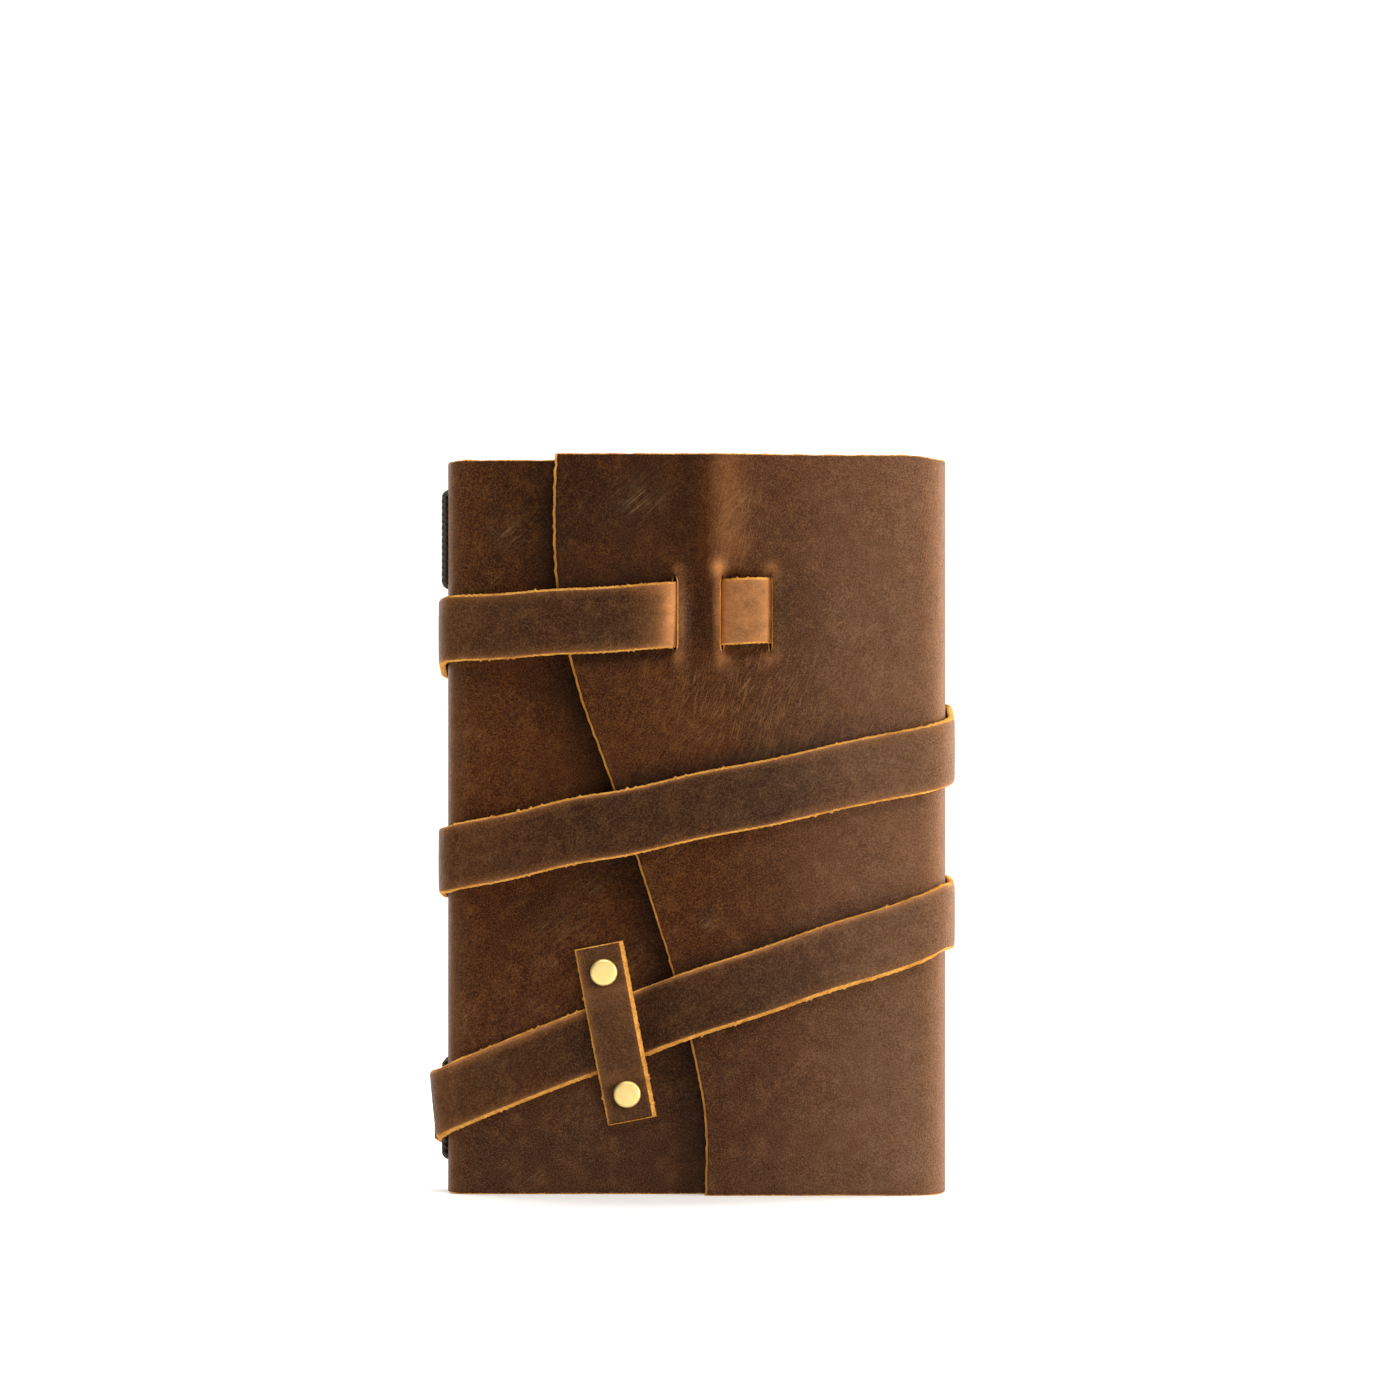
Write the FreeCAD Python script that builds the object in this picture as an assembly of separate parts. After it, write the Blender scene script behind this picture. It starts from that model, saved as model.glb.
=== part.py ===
import FreeCAD, Part

import math
import os

Vector = FreeCAD.Vector

# A leather journal wrap, closed and standing on its bottom edges. Millimetres.
# X runs from the spine (-) to the fore-edge (+), Y from the front (-) to the back (+), Z is up.

# Driving dimensions
WIDTH = 143.4  # spine to fore-edge, outside the leather
DEPTH = 27.2  # flap face to back face, outside the leather
FLAP_HEIGHT = 213.0
COVER_HEIGHT = 211.3  # front cover, back cover and spine
LEATHER = 2.0  # thickness of the wrap and of the keeper
SPINE_RADIUS = 5.0  # outside radius of the spine's two corners
FORE_RADIUS = 8.0  # outside radius of the fore-edge's two corners
CLEARANCE = 0.3  # between layers that lie on each other
FOLD_GAP = 0.7  # room round the rounded end of a panel at its fold

STRAP_WIDTH = 19.0
STRAP_THICKNESS = 2.0
SLIT_HEIGHT = 22.2
SLIT_WIDTH = 2.8
SLIT_X = (21.2, 7.4, -6.2)  # the three slits in the flap, from the fore-edge side
SLIT_CENTRE_Z = 167.0

TURN_SPINE_X = -73.3  # middle of the strap where it passes round the spine
TURN_LOW_X = -75.1  # the same for the lowest turn, which passes over the cords
TURN_FORE_X = 73.4
JOIN_SPINE_X = -62.0  # where a front run meets the turn at the spine
JOIN_FORE_X = 60.0
Y_ON_COVER = -11.0  # middle of the strap where it comes down beside the flap
TURN_RADIUS = 6.0
FORE_TURN_RADIUS = 9.0
WEAVE_RADIUS = 1.25

# Height of the strap's middle line at the spine and at the fore-edge, for each front run
TOP_SPINE_Z = 162.5
TOP_SLIT_Z = 166.6
MIDDLE_SPINE_Z = 96.3
MIDDLE_FORE_Z = 126.8
LOW_SPINE_Z = 26.6
LOW_FORE_Z = 79.6

# Where each front run leaves the flap on its way to the spine
TOP_LEAVE_X = -42.0
MIDDLE_LEAVE_X = -26.0
LEAVE_RADIUS = 60.0
LOW_EDGE_X = -8.0
LOW_EDGE_Z = 52.6

PAGE_HEIGHT = 204.0
PAGE_FOOT = 4.0  # the pages end this far above the cover's bottom edge
PAGE_FOLD_X = -68.0
PAGE_EDGE_X = 62.0
SIGNATURES = 4
OPENED_LEAVES = 1.6  # thickness of the first signature's front leaves, which turn with the cover
FOLD_THICKNESS = 2.0  # paper between the sewing gutter and the back of the fold

CORD_DIAMETER = 1.8
CORD_BEND = 1.5
CORD_HOLE = 2.5
GUTTER = CORD_DIAMETER + 0.2  # width of the slot inside a signature's fold
STITCH_Z = (10.5, 38.0, 175.0, 202.0)  # sewing holes, from the bottom

KEEPER_LENGTH = 51.4
KEEPER_WIDTH = 14.3
KEEPER_TILT = 10.9  # degrees, its top leans towards the spine
KEEPER_X = -23.3
KEEPER_Z = 46.4
RIVET_SPACING = 35.6
RIVET_CAP = 7.8
RIVET_CAP_HEIGHT = 1.5
RIVET_STEM = 2.8
RIVET_FLANGE_HEIGHT = 0.8

# Layers through the depth, from the back to the front
X_SPINE = -WIDTH / 2
X_FORE = WIDTH / 2
Y_BACK = DEPTH / 2
Y_FLAP = -DEPTH / 2
Y_UNDERLAY = Y_FLAP + LEATHER + CLEARANCE  # the strap where it passes beneath the flap
Y_COVER = Y_UNDERLAY + STRAP_THICKNESS + CLEARANCE  # outside face of the front cover
Y_PAGES_BACK = Y_BACK - LEATHER - CLEARANCE
Y_PAGES_FRONT = Y_COVER + LEATHER + RIVET_FLANGE_HEIGHT + CLEARANCE
Y_OVER = Y_FLAP - CLEARANCE - STRAP_THICKNESS / 2  # middle of the strap on the flap
Y_UNDER = Y_UNDERLAY + STRAP_THICKNESS / 2  # middle of the strap on the front cover
Y_BEHIND = Y_BACK + CLEARANCE + STRAP_THICKNESS / 2  # middle of the strap on the back

# Corner centres and fold axes, in the XY plane
SPINE_CENTRE_X = X_SPINE + SPINE_RADIUS
FORE_CENTRE_X = X_FORE - FORE_RADIUS
FORE_FRONT_Y = Y_FLAP + FORE_RADIUS
FORE_BACK_Y = Y_BACK - FORE_RADIUS
FORE_REACH = (FORE_RADIUS - LEATHER / 2) * math.cos(math.radians(45))
COVER_FOLD = (SPINE_CENTRE_X, Y_COVER + LEATHER / 2)
BACK_FOLD = (FORE_CENTRE_X + FORE_REACH, FORE_BACK_Y + FORE_REACH)
FLAP_FOLD = (FORE_CENTRE_X + FORE_REACH, FORE_FRONT_Y - FORE_REACH)

UP = Vector(0, 0, 1)


# Shared shapes


def box(x0, x1, y0, y1, z0, z1):
    """A box between two corners."""
    return Part.makeBox(x1 - x0, y1 - y0, z1 - z0, Vector(x0, y0, z0))


def post(x, y, radius, height):
    """An upright cylinder standing on z = 0."""
    return Part.makeCylinder(radius, height, Vector(x, y, 0), UP)


def bend(x, y, outside_radius, start, end, height):
    """A sheet bent round an upright axis at (x, y), from the angle start to the angle end."""

    def at(radius, degrees):
        angle = math.radians(degrees)
        return Vector(x + radius * math.cos(angle), y + radius * math.sin(angle), 0)

    inside_radius = outside_radius - LEATHER
    middle = (start + end) / 2
    outline = Part.Wire(
        [
            Part.Arc(at(outside_radius, start), at(outside_radius, middle), at(outside_radius, end)).toShape(),
            Part.makeLine(at(outside_radius, end), at(inside_radius, end)),
            Part.Arc(at(inside_radius, end), at(inside_radius, middle), at(inside_radius, start)).toShape(),
            Part.makeLine(at(inside_radius, start), at(outside_radius, start)),
        ]
    )
    return Part.Face(outline).extrude(Vector(0, 0, height))


def rounded_path(points, radii):
    """Straight runs through the points, joined by tangent arcs of the given radii at the inner points."""
    edges = []
    here = points[0]
    for before, corner, after, radius in zip(points, points[1:], points[2:], radii):
        inward = (corner - before).normalize()
        outward = (after - corner).normalize()
        turn = inward.getAngle(outward)
        reach = radius * math.tan(turn / 2)
        start = corner - inward * reach
        end = corner + outward * reach
        to_centre = (outward - inward).normalize()
        middle = corner + to_centre * (radius / math.cos(turn / 2) - radius)
        edges.append(Part.makeLine(here, start))
        edges.append(Part.Arc(start, middle, end).toShape())
        here = end
    edges.append(Part.makeLine(here, points[-1]))
    return Part.Wire(edges)


def ribbon(points, radii, width, thickness, across):
    """A flat strip swept along a path, with its width always along the direction across."""
    path = rounded_path(points, radii)
    forward = points[1] - points[0]
    forward = (forward - across * forward.dot(across)).normalize()
    out = across.cross(forward)
    half_width = across * (width / 2)
    half_thickness = out * (thickness / 2)
    start = points[0]
    corners = [
        start - half_width - half_thickness,
        start + half_width - half_thickness,
        start + half_width + half_thickness,
        start - half_width + half_thickness,
    ]
    section = Part.makePolygon(corners + corners[:1])
    sweep = Part.BRepOffsetAPI.MakePipeShell(path)
    sweep.setBiNormalMode(across)
    sweep.add(section)
    sweep.build()
    sweep.makeSolid()
    return sweep.shape()


# The wrap: one hide that folds at the spine and twice at the fore-edge, as five panels


def back_cover():
    """Flat back, with the first half of the fore-edge's back corner."""
    flat = box(SPINE_CENTRE_X, FORE_CENTRE_X, Y_BACK - LEATHER, Y_BACK, 0, COVER_HEIGHT)
    corner = bend(FORE_CENTRE_X, FORE_BACK_Y, FORE_RADIUS, 45, 90, COVER_HEIGHT)
    room = post(*BACK_FOLD, LEATHER / 2 + FOLD_GAP, COVER_HEIGHT)
    return flat.fuse(corner).cut(room).removeSplitter()


def spine_panel():
    """Spine with its back corner, the start of its front corner, and the sewing holes."""
    front_corner_y = Y_COVER + SPINE_RADIUS
    back_corner_y = Y_BACK - SPINE_RADIUS
    front_corner_turn = 25
    flat = box(X_SPINE, X_SPINE + LEATHER, front_corner_y, back_corner_y, 0, COVER_HEIGHT)
    back_corner = bend(SPINE_CENTRE_X, back_corner_y, SPINE_RADIUS, 90, 180, COVER_HEIGHT)
    front_corner = bend(
        SPINE_CENTRE_X, front_corner_y, SPINE_RADIUS, 180, 180 + front_corner_turn, COVER_HEIGHT
    )
    panel = flat.fuse([back_corner, front_corner]).removeSplitter()
    return panel.cut(sewing_holes(X_SPINE - 1, X_SPINE + LEATHER + 1))


def fore_edge_panel():
    """Fore-edge with half of each of its two corners, and a rounded end at the back fold."""
    flat = box(X_FORE - LEATHER, X_FORE, FORE_FRONT_Y, FORE_BACK_Y, 0, COVER_HEIGHT)
    back_corner = bend(FORE_CENTRE_X, FORE_BACK_Y, FORE_RADIUS, 0, 45, COVER_HEIGHT)
    front_corner = bend(FORE_CENTRE_X, FORE_FRONT_Y, FORE_RADIUS, -45, 0, COVER_HEIGHT)
    rounded_end = post(*BACK_FOLD, LEATHER / 2, COVER_HEIGHT)
    room = post(*FLAP_FOLD, LEATHER / 2 + FOLD_GAP, COVER_HEIGHT)
    return flat.fuse([back_corner, front_corner, rounded_end]).cut(room).removeSplitter()


def flap():
    """Flap over the front, with a waved free edge and three slits for the strap."""
    waved_edge = [
        Vector(-40.2, 0, FLAP_HEIGHT),
        Vector(-40.7, 0, 195),
        Vector(-39.9, 0, 175),
        Vector(-34.4, 0, 148),
        Vector(-23.2, 0, 116),
        Vector(-12.6, 0, 84),
        Vector(-1.2, 0, 44),
        Vector(2.8, 0, 22),
        Vector(2.9, 0, 0),
    ]
    curve = Part.BSplineCurve()
    curve.interpolate(waved_edge)
    top = Vector(FORE_CENTRE_X, 0, FLAP_HEIGHT)
    bottom = Vector(FORE_CENTRE_X, 0, 0)
    outline = Part.Wire(
        [
            curve.toShape(),
            Part.makeLine(waved_edge[-1], bottom),
            Part.makeLine(bottom, top),
            Part.makeLine(top, waved_edge[0]),
        ]
    )
    outline.translate(Vector(0, Y_FLAP, 0))
    flat = Part.Face(outline).extrude(Vector(0, LEATHER, 0))
    corner = bend(FORE_CENTRE_X, FORE_FRONT_Y, FORE_RADIUS, -90, -45, FLAP_HEIGHT)
    rounded_end = post(*FLAP_FOLD, LEATHER / 2, FLAP_HEIGHT)
    slits = [
        box(
            x - SLIT_WIDTH / 2,
            x + SLIT_WIDTH / 2,
            Y_FLAP - 1,
            Y_FLAP + LEATHER + 1,
            SLIT_CENTRE_Z - SLIT_HEIGHT / 2,
            SLIT_CENTRE_Z + SLIT_HEIGHT / 2,
        )
        for x in SLIT_X
    ]
    return flat.fuse([corner, rounded_end]).removeSplitter().cut(slits)


def front_cover():
    """Flat front under the flap, with a rounded end at the spine fold and two rivet holes."""
    free_edge_x = 64.0
    flat = box(COVER_FOLD[0], free_edge_x, Y_COVER, Y_COVER + LEATHER, 0, COVER_HEIGHT)
    rounded_end = post(*COVER_FOLD, LEATHER / 2, COVER_HEIGHT)
    return flat.fuse(rounded_end).removeSplitter().cut(rivet_holes())


# The pages: folded signatures sewn through the spine, each with its own cord


def signature_thickness():
    return (Y_PAGES_BACK - Y_PAGES_FRONT) / SIGNATURES


def signature_front(number):
    """Front face of a signature, counted from 0 at the front."""
    return Y_PAGES_FRONT + number * signature_thickness()


def first_opening():
    """Front face of the leaves that stay behind in the first signature."""
    return Y_PAGES_FRONT + OPENED_LEAVES + CLEARANCE


def cord_y(number):
    """The cord lies in the middle of its signature, and in the first one just behind the opened leaves."""
    if number == 0:
        return first_opening() + GUTTER / 2
    return signature_front(number) + signature_thickness() / 2


def sewing_holes(x0, x1):
    """Round holes along X for every cord at every sewing height."""
    return [
        Part.makeCylinder(CORD_HOLE / 2, x1 - x0, Vector(x0, cord_y(number), z), Vector(1, 0, 0))
        for number in range(SIGNATURES)
        for z in STITCH_Z
    ]


def signature_block(x0, y0, y1):
    return box(x0, PAGE_EDGE_X, y0, y1, PAGE_FOOT, PAGE_FOOT + PAGE_HEIGHT)


def first_signature_front_leaves():
    """Front leaves of the first signature, which turn with the cover."""
    return signature_block(COVER_FOLD[0] + CLEARANCE, Y_PAGES_FRONT, Y_PAGES_FRONT + OPENED_LEAVES)


def sewn_signature(number):
    """A signature with the gutter where its cord lies. The first one lacks its front leaves."""
    front = first_opening() if number == 0 else signature_front(number)
    gutter_foot = 3.0
    gutter = box(
        PAGE_FOLD_X + FOLD_THICKNESS - 0.1,
        PAGE_FOLD_X + FOLD_THICKNESS + CORD_BEND + GUTTER,
        cord_y(number) - GUTTER / 2,
        cord_y(number) + GUTTER / 2,
        PAGE_FOOT + gutter_foot,
        PAGE_FOOT + PAGE_HEIGHT - gutter_foot,
    )
    holes = sewing_holes(PAGE_FOLD_X - 1, PAGE_FOLD_X + FOLD_THICKNESS)
    return signature_block(PAGE_FOLD_X, front, signature_front(number + 1)).cut(gutter).cut(holes)


def binding_cord(number):
    """One cord sewn in and out of the four holes of its signature, in two long stitches outside the spine."""
    inside_x = PAGE_FOLD_X + FOLD_THICKNESS + CORD_BEND
    outside_x = X_SPINE - CORD_DIAMETER / 2 - 0.1
    y = cord_y(number)
    low, low_end, high, high_end = STITCH_Z
    tail = 12.0
    route = [
        (inside_x, low + tail),
        (inside_x, low),
        (outside_x, low),
        (outside_x, low_end),
        (inside_x, low_end),
        (inside_x, high),
        (outside_x, high),
        (outside_x, high_end),
        (inside_x, high_end),
        (inside_x, high_end - tail),
    ]
    points = [Vector(x, y, z) for x, z in route]
    path = rounded_path(points, [CORD_BEND] * (len(points) - 2))
    section = Part.Wire(Part.makeCircle(CORD_DIAMETER / 2, points[0], points[1] - points[0]))
    cord = path.makePipeShell([section], True, True)
    report_sweep(f"binding_cord_{number + 1}", cord, math.pi * CORD_DIAMETER**2 / 4, path.Length)
    return cord


# The strap: woven through the flap, then wound round the journal as it descends

def on_line(x, x0, z0, x1, z1):
    """Height at x on the straight line from (x0, z0) to (x1, z1)."""
    return z0 + (z1 - z0) * (x - x0) / (x1 - x0)


def strap(name, points, radii):
    """A run of strap; its section is as tall as its slope makes a cut across it."""
    level = sum(math.hypot(b.x - a.x, b.y - a.y) for a, b in zip(points, points[1:]))
    drop = sum(abs(b.z - a.z) for a, b in zip(points, points[1:]))
    height = STRAP_WIDTH * math.hypot(level, drop) / level
    run = ribbon(points, radii, height, STRAP_THICKNESS, UP)
    report_sweep(name, run, height * STRAP_THICKNESS, level)
    return run


def upper_z(x):
    return on_line(x, TURN_SPINE_X, TOP_SPINE_Z, SLIT_X[2], TOP_SLIT_Z)


def down_to_spine_y(x, leave_x):
    """Depth of the strap between the flap's edge and the spine."""
    return on_line(x, leave_x, Y_OVER, TURN_SPINE_X, Y_ON_COVER)


def strap_woven_end():
    """Hidden end under the flap, the weave through the three slits, and the top front run."""
    hidden_end_x = 47.0
    route = [(hidden_end_x, Y_UNDER)]
    levels = [Y_UNDER, Y_OVER]
    for number, x in enumerate(SLIT_X):
        route.append((x, levels[number % 2]))
        route.append((x, levels[(number + 1) % 2]))
    route.append((TOP_LEAVE_X, Y_OVER))
    route.append((JOIN_SPINE_X, down_to_spine_y(JOIN_SPINE_X, TOP_LEAVE_X)))
    points = [Vector(x, y, upper_z(x)) for x, y in route]
    return strap("strap_woven_end", points, [WEAVE_RADIUS] * 6 + [LEAVE_RADIUS])


def wound_turn(name, start, spine_y, spine_z, fore_z, end):
    """Once round behind the journal: spine, back and fore-edge, with a steady descent."""
    depth = Y_BEHIND - Y_OVER
    back = TURN_FORE_X - TURN_SPINE_X
    drop = (spine_z - fore_z) / (2 * depth + back)
    points = [
        start,
        Vector(TURN_SPINE_X, spine_y, spine_z),
        Vector(TURN_SPINE_X, Y_BEHIND, spine_z - drop * depth),
        Vector(TURN_FORE_X, Y_BEHIND, fore_z + drop * depth),
        Vector(TURN_FORE_X, Y_OVER, fore_z),
        end,
    ]
    radii = [TURN_RADIUS, TURN_RADIUS, FORE_TURN_RADIUS, FORE_TURN_RADIUS]
    return strap(name, points, radii)


def upper_join():
    return Vector(JOIN_SPINE_X, down_to_spine_y(JOIN_SPINE_X, TOP_LEAVE_X), upper_z(JOIN_SPINE_X))


def middle_point(x, y):
    return Vector(x, y, on_line(x, TURN_SPINE_X, MIDDLE_SPINE_Z, TURN_FORE_X, MIDDLE_FORE_Z))


def middle_join():
    return middle_point(JOIN_SPINE_X, down_to_spine_y(JOIN_SPINE_X, MIDDLE_LEAVE_X))


def strap_back_upper():
    end = middle_point(JOIN_FORE_X, Y_OVER)
    return wound_turn("strap_back_upper", upper_join(), Y_ON_COVER, TOP_SPINE_Z, MIDDLE_FORE_Z, end)


def strap_front_middle():
    """Second front run, over the flap and down to the spine."""
    points = [
        middle_point(JOIN_FORE_X, Y_OVER),
        middle_point(MIDDLE_LEAVE_X, Y_OVER),
        middle_join(),
    ]
    return strap("strap_front_middle", points, [LEAVE_RADIUS])


def low_fore_join():
    return Vector(
        JOIN_FORE_X, Y_OVER, on_line(JOIN_FORE_X, LOW_EDGE_X, LOW_EDGE_Z, TURN_FORE_X, LOW_FORE_Z)
    )


def low_spine_z(x):
    return on_line(x, LOW_EDGE_X, LOW_EDGE_Z, TURN_LOW_X, LOW_SPINE_Z)


def strap_back_middle():
    return wound_turn(
        "strap_back_middle", middle_join(), Y_ON_COVER, MIDDLE_SPINE_Z, LOW_FORE_Z, low_fore_join()
    )


def strap_front_lower():
    """Third front run: off the flap's edge, down to the cover and through the keeper."""
    step_x = LOW_EDGE_X - 4.5
    points = [
        low_fore_join(),
        Vector(LOW_EDGE_X, Y_OVER, LOW_EDGE_Z),
        Vector(step_x, Y_UNDER, low_spine_z(step_x)),
        Vector(JOIN_SPINE_X, Y_UNDER, low_spine_z(JOIN_SPINE_X)),
    ]
    return strap("strap_front_lower", points, [3.5, 3.5])


def strap_tail():
    """Loose end: round the spine over the cords and along the back, with its corners cut off."""
    tail_x = 20.0
    behind_z = 22.5
    tail_z = 18.0
    points = [
        Vector(JOIN_SPINE_X, Y_UNDER, low_spine_z(JOIN_SPINE_X)),
        Vector(TURN_LOW_X, Y_UNDER, LOW_SPINE_Z),
        Vector(TURN_LOW_X, Y_BEHIND, behind_z),
        Vector(tail_x, Y_BEHIND, tail_z),
    ]
    tail = strap("strap_tail", points, [TURN_RADIUS, TURN_RADIUS])
    taper = 12.0
    half = STRAP_WIDTH / 2 + 1
    for side in (1, -1):
        corner = Part.makePolygon(
            [
                Vector(tail_x + 1, Y_BEHIND - 2, tail_z + side * half / 2.5),
                Vector(tail_x + 1, Y_BEHIND - 2, tail_z + side * (half + 2)),
                Vector(tail_x - taper, Y_BEHIND - 2, tail_z + side * (half + 2)),
                Vector(tail_x + 1, Y_BEHIND - 2, tail_z + side * half / 2.5),
            ]
        )
        tail = tail.cut(Part.Face(corner).extrude(Vector(0, 4, 0)))
    return tail


# The keeper: a riveted leather loop that holds the strap against the front cover


def along_keeper(distance, y):
    """A point on the keeper's middle line, at a distance above its centre."""
    tilt = math.radians(KEEPER_TILT)
    return Vector(
        KEEPER_X - distance * math.sin(tilt), y, KEEPER_Z + distance * math.cos(tilt)
    )


def rivet_places():
    return [along_keeper(RIVET_SPACING / 2, 0), along_keeper(-RIVET_SPACING / 2, 0)]


def rivet_holes():
    radius = RIVET_STEM / 2 + 0.1
    return [
        Part.makeCylinder(radius, DEPTH, Vector(place.x, Y_FLAP, place.z), Vector(0, 1, 0))
        for place in rivet_places()
    ]


def keeper_loop():
    """Strip that lies on the cover at both ends and bridges the strap between them."""
    flat_y = Y_COVER - LEATHER / 2
    bridge_y = Y_UNDER - STRAP_THICKNESS / 2 - CLEARANCE - LEATHER / 2
    end = KEEPER_LENGTH / 2
    ramp_foot = 13.6
    ramp_top = 11.9
    route = [
        (-end, flat_y),
        (-ramp_foot, flat_y),
        (-ramp_top, bridge_y),
        (ramp_top, bridge_y),
        (ramp_foot, flat_y),
        (end, flat_y),
    ]
    points = [along_keeper(distance, y) for distance, y in route]
    tilt = math.radians(KEEPER_TILT)
    across = Vector(math.cos(tilt), 0, math.sin(tilt))
    ramp_radius = 1.2
    loop = ribbon(points, [ramp_radius] * 4, KEEPER_WIDTH, LEATHER, across)
    return loop.cut(rivet_holes())


def turned(profile, place, face_y):
    """A round part about the line through place along Y; the profile is (radius, distance in front of face_y)."""
    points = [Vector(place.x + radius, face_y - front, place.z) for radius, front in profile]
    face = Part.Face(Part.makePolygon(points + points[:1]))
    return face.revolve(Vector(place.x, 0, place.z), Vector(0, 1, 0), 360)


def rivet_cap(place):
    """Domed cap pressed on the stem's end, on the outside of the keeper."""
    radius = RIVET_CAP / 2
    socket = RIVET_STEM / 2
    profile = [
        (socket, 0),
        (radius - 0.3, 0),
        (radius, 0.3),
        (radius, 0.7),
        (radius - 0.5, 1.15),
        (radius - 1.6, 1.4),
        (0, RIVET_CAP_HEIGHT),
        (0, 0.9),
        (socket, 0.9),
    ]
    return turned(profile, place, Y_COVER - LEATHER)


def rivet_post(place):
    """Stem with a flat flange inside the front cover."""
    stem = RIVET_STEM / 2
    flange = RIVET_CAP / 2
    inside = -2 * LEATHER
    profile = [
        (0, 0.9),
        (stem, 0.9),
        (stem, inside),
        (flange, inside),
        (flange, inside - RIVET_FLANGE_HEIGHT * 0.6),
        (flange - 0.5, inside - RIVET_FLANGE_HEIGHT),
        (0, inside - RIVET_FLANGE_HEIGHT),
    ]
    return turned(profile, place, Y_COVER - LEATHER)


# Writing the parts


def report_sweep(name, shape, section, length):
    print(f"{name}: volume {shape.Volume:.1f}, section x length {section * length:.1f}, length {length:.1f}")


def write(name, shape):
    solids = shape.Solids
    if len(solids) != 1 or not shape.isValid():
        raise RuntimeError(f"{name} is not one valid solid")
    solids[0].exportStep(f"parts/{name}.step")


def main():
    os.makedirs("parts", exist_ok=True)
    write("back_cover", back_cover())
    write("spine_panel", spine_panel())
    write("fore_edge_panel", fore_edge_panel())
    write("flap", flap())
    write("front_cover", front_cover())
    write("first_signature_front_leaves", first_signature_front_leaves())
    for number in range(SIGNATURES):
        write(f"signature_{number + 1}", sewn_signature(number))
        write(f"binding_cord_{number + 1}", binding_cord(number))
    write("strap_woven_end", strap_woven_end())
    write("strap_back_upper", strap_back_upper())
    write("strap_front_middle", strap_front_middle())
    write("strap_back_middle", strap_back_middle())
    write("strap_front_lower", strap_front_lower())
    write("strap_tail", strap_tail())
    write("keeper_loop", keeper_loop())
    for name, place in zip(("upper", "lower"), rivet_places()):
        write(f"rivet_cap_{name}", rivet_cap(place))
        write(f"rivet_post_{name}", rivet_post(place))
    print("folds (x, y):", COVER_FOLD, BACK_FOLD, FLAP_FOLD)


main()
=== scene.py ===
import math

import bpy
import numpy as np
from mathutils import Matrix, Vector


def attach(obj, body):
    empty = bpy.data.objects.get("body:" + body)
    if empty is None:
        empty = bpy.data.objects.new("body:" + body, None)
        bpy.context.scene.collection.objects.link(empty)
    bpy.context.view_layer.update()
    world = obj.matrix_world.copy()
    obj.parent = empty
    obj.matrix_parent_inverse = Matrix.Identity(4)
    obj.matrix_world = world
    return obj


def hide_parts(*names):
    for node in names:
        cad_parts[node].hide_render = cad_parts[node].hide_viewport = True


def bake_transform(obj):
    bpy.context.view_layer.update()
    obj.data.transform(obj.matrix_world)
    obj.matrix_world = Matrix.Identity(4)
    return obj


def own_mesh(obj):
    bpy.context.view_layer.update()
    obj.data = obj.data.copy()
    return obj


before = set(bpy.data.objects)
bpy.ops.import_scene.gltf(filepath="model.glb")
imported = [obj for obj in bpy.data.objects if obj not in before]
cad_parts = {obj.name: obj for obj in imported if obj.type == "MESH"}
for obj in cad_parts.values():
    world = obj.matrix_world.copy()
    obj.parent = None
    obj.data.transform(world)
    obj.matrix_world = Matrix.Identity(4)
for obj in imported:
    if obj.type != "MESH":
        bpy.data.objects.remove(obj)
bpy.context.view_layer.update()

MM = 0.001

# Sizes repeated from the part's source, in millimetres
LEATHER = 2.0
X_SPINE, X_FORE = -71.7, 71.7
Y_BACK, Y_FLAP, Y_COVER = 13.6, -13.6, -9.0
SPINE_RADIUS, FORE_RADIUS = 5.0, 8.0
SPINE_CENTRE_X, FORE_CENTRE_X = -66.7, 63.7
COVER_HEIGHT, FLAP_HEIGHT = 211.3, 213.0
COVER_FREE_EDGE = 64.0
Y_OVER, Y_UNDER, Y_BEHIND = -14.9, -10.3, 14.9
STRAP_WIDTH, STRAP_THICKNESS = 19.0, 2.0
SLIT_X = (-6.2, 7.4, 21.2)
SLIT_LOW, SLIT_HIGH = 155.9, 178.1
PAGE_FOOT, PAGE_TOP, PAGE_EDGE_X = 4.0, 208.0, 62.0
KEEPER_X, KEEPER_Z, KEEPER_TILT = -23.3, 46.4, math.radians(10.9)
KEEPER_LENGTH, KEEPER_WIDTH = 51.4, 14.3
RIVET_REACH, Y_RIVET_SEAT = 17.8, -11.0


# Numbers


def smooth(t):
    t = np.clip(t, 0.0, 1.0)
    return t * t * (3 - 2 * t)


def hump(x, centre, width):
    """1 at centre, falling smoothly to nothing about two widths away."""
    return np.exp(-(((x - centre) / width) ** 2))


def waves(seed, points, size, octaves=3):
    """Smooth noise of about -1 to 1 over points (n, d), with features of about that size."""
    rng = np.random.default_rng(seed)
    points = np.asarray(points, float)
    total = np.zeros(len(points))
    weight = 0.0
    for octave in range(octaves):
        for _ in range(5):
            direction = rng.normal(size=points.shape[1])
            direction /= np.linalg.norm(direction)
            turn = 2 * math.pi / (size / 2**octave) * rng.uniform(0.6, 1.4)
            total += 0.6**octave * np.sin(points @ direction * turn + rng.uniform(0, 6.283))
        weight += 0.6**octave
    return total / (weight * 2.2)


def ragged(seed, count, step, size, octaves=3):
    """Noise along a cut edge of count points that lie step apart."""
    return waves(seed, np.arange(count)[:, None] * step, size, octaves)


# Meshes


def show(name, data):
    """A new object in the scene."""
    thing = bpy.data.objects.new(name, data)
    bpy.context.scene.collection.objects.link(thing)
    return thing


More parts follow.
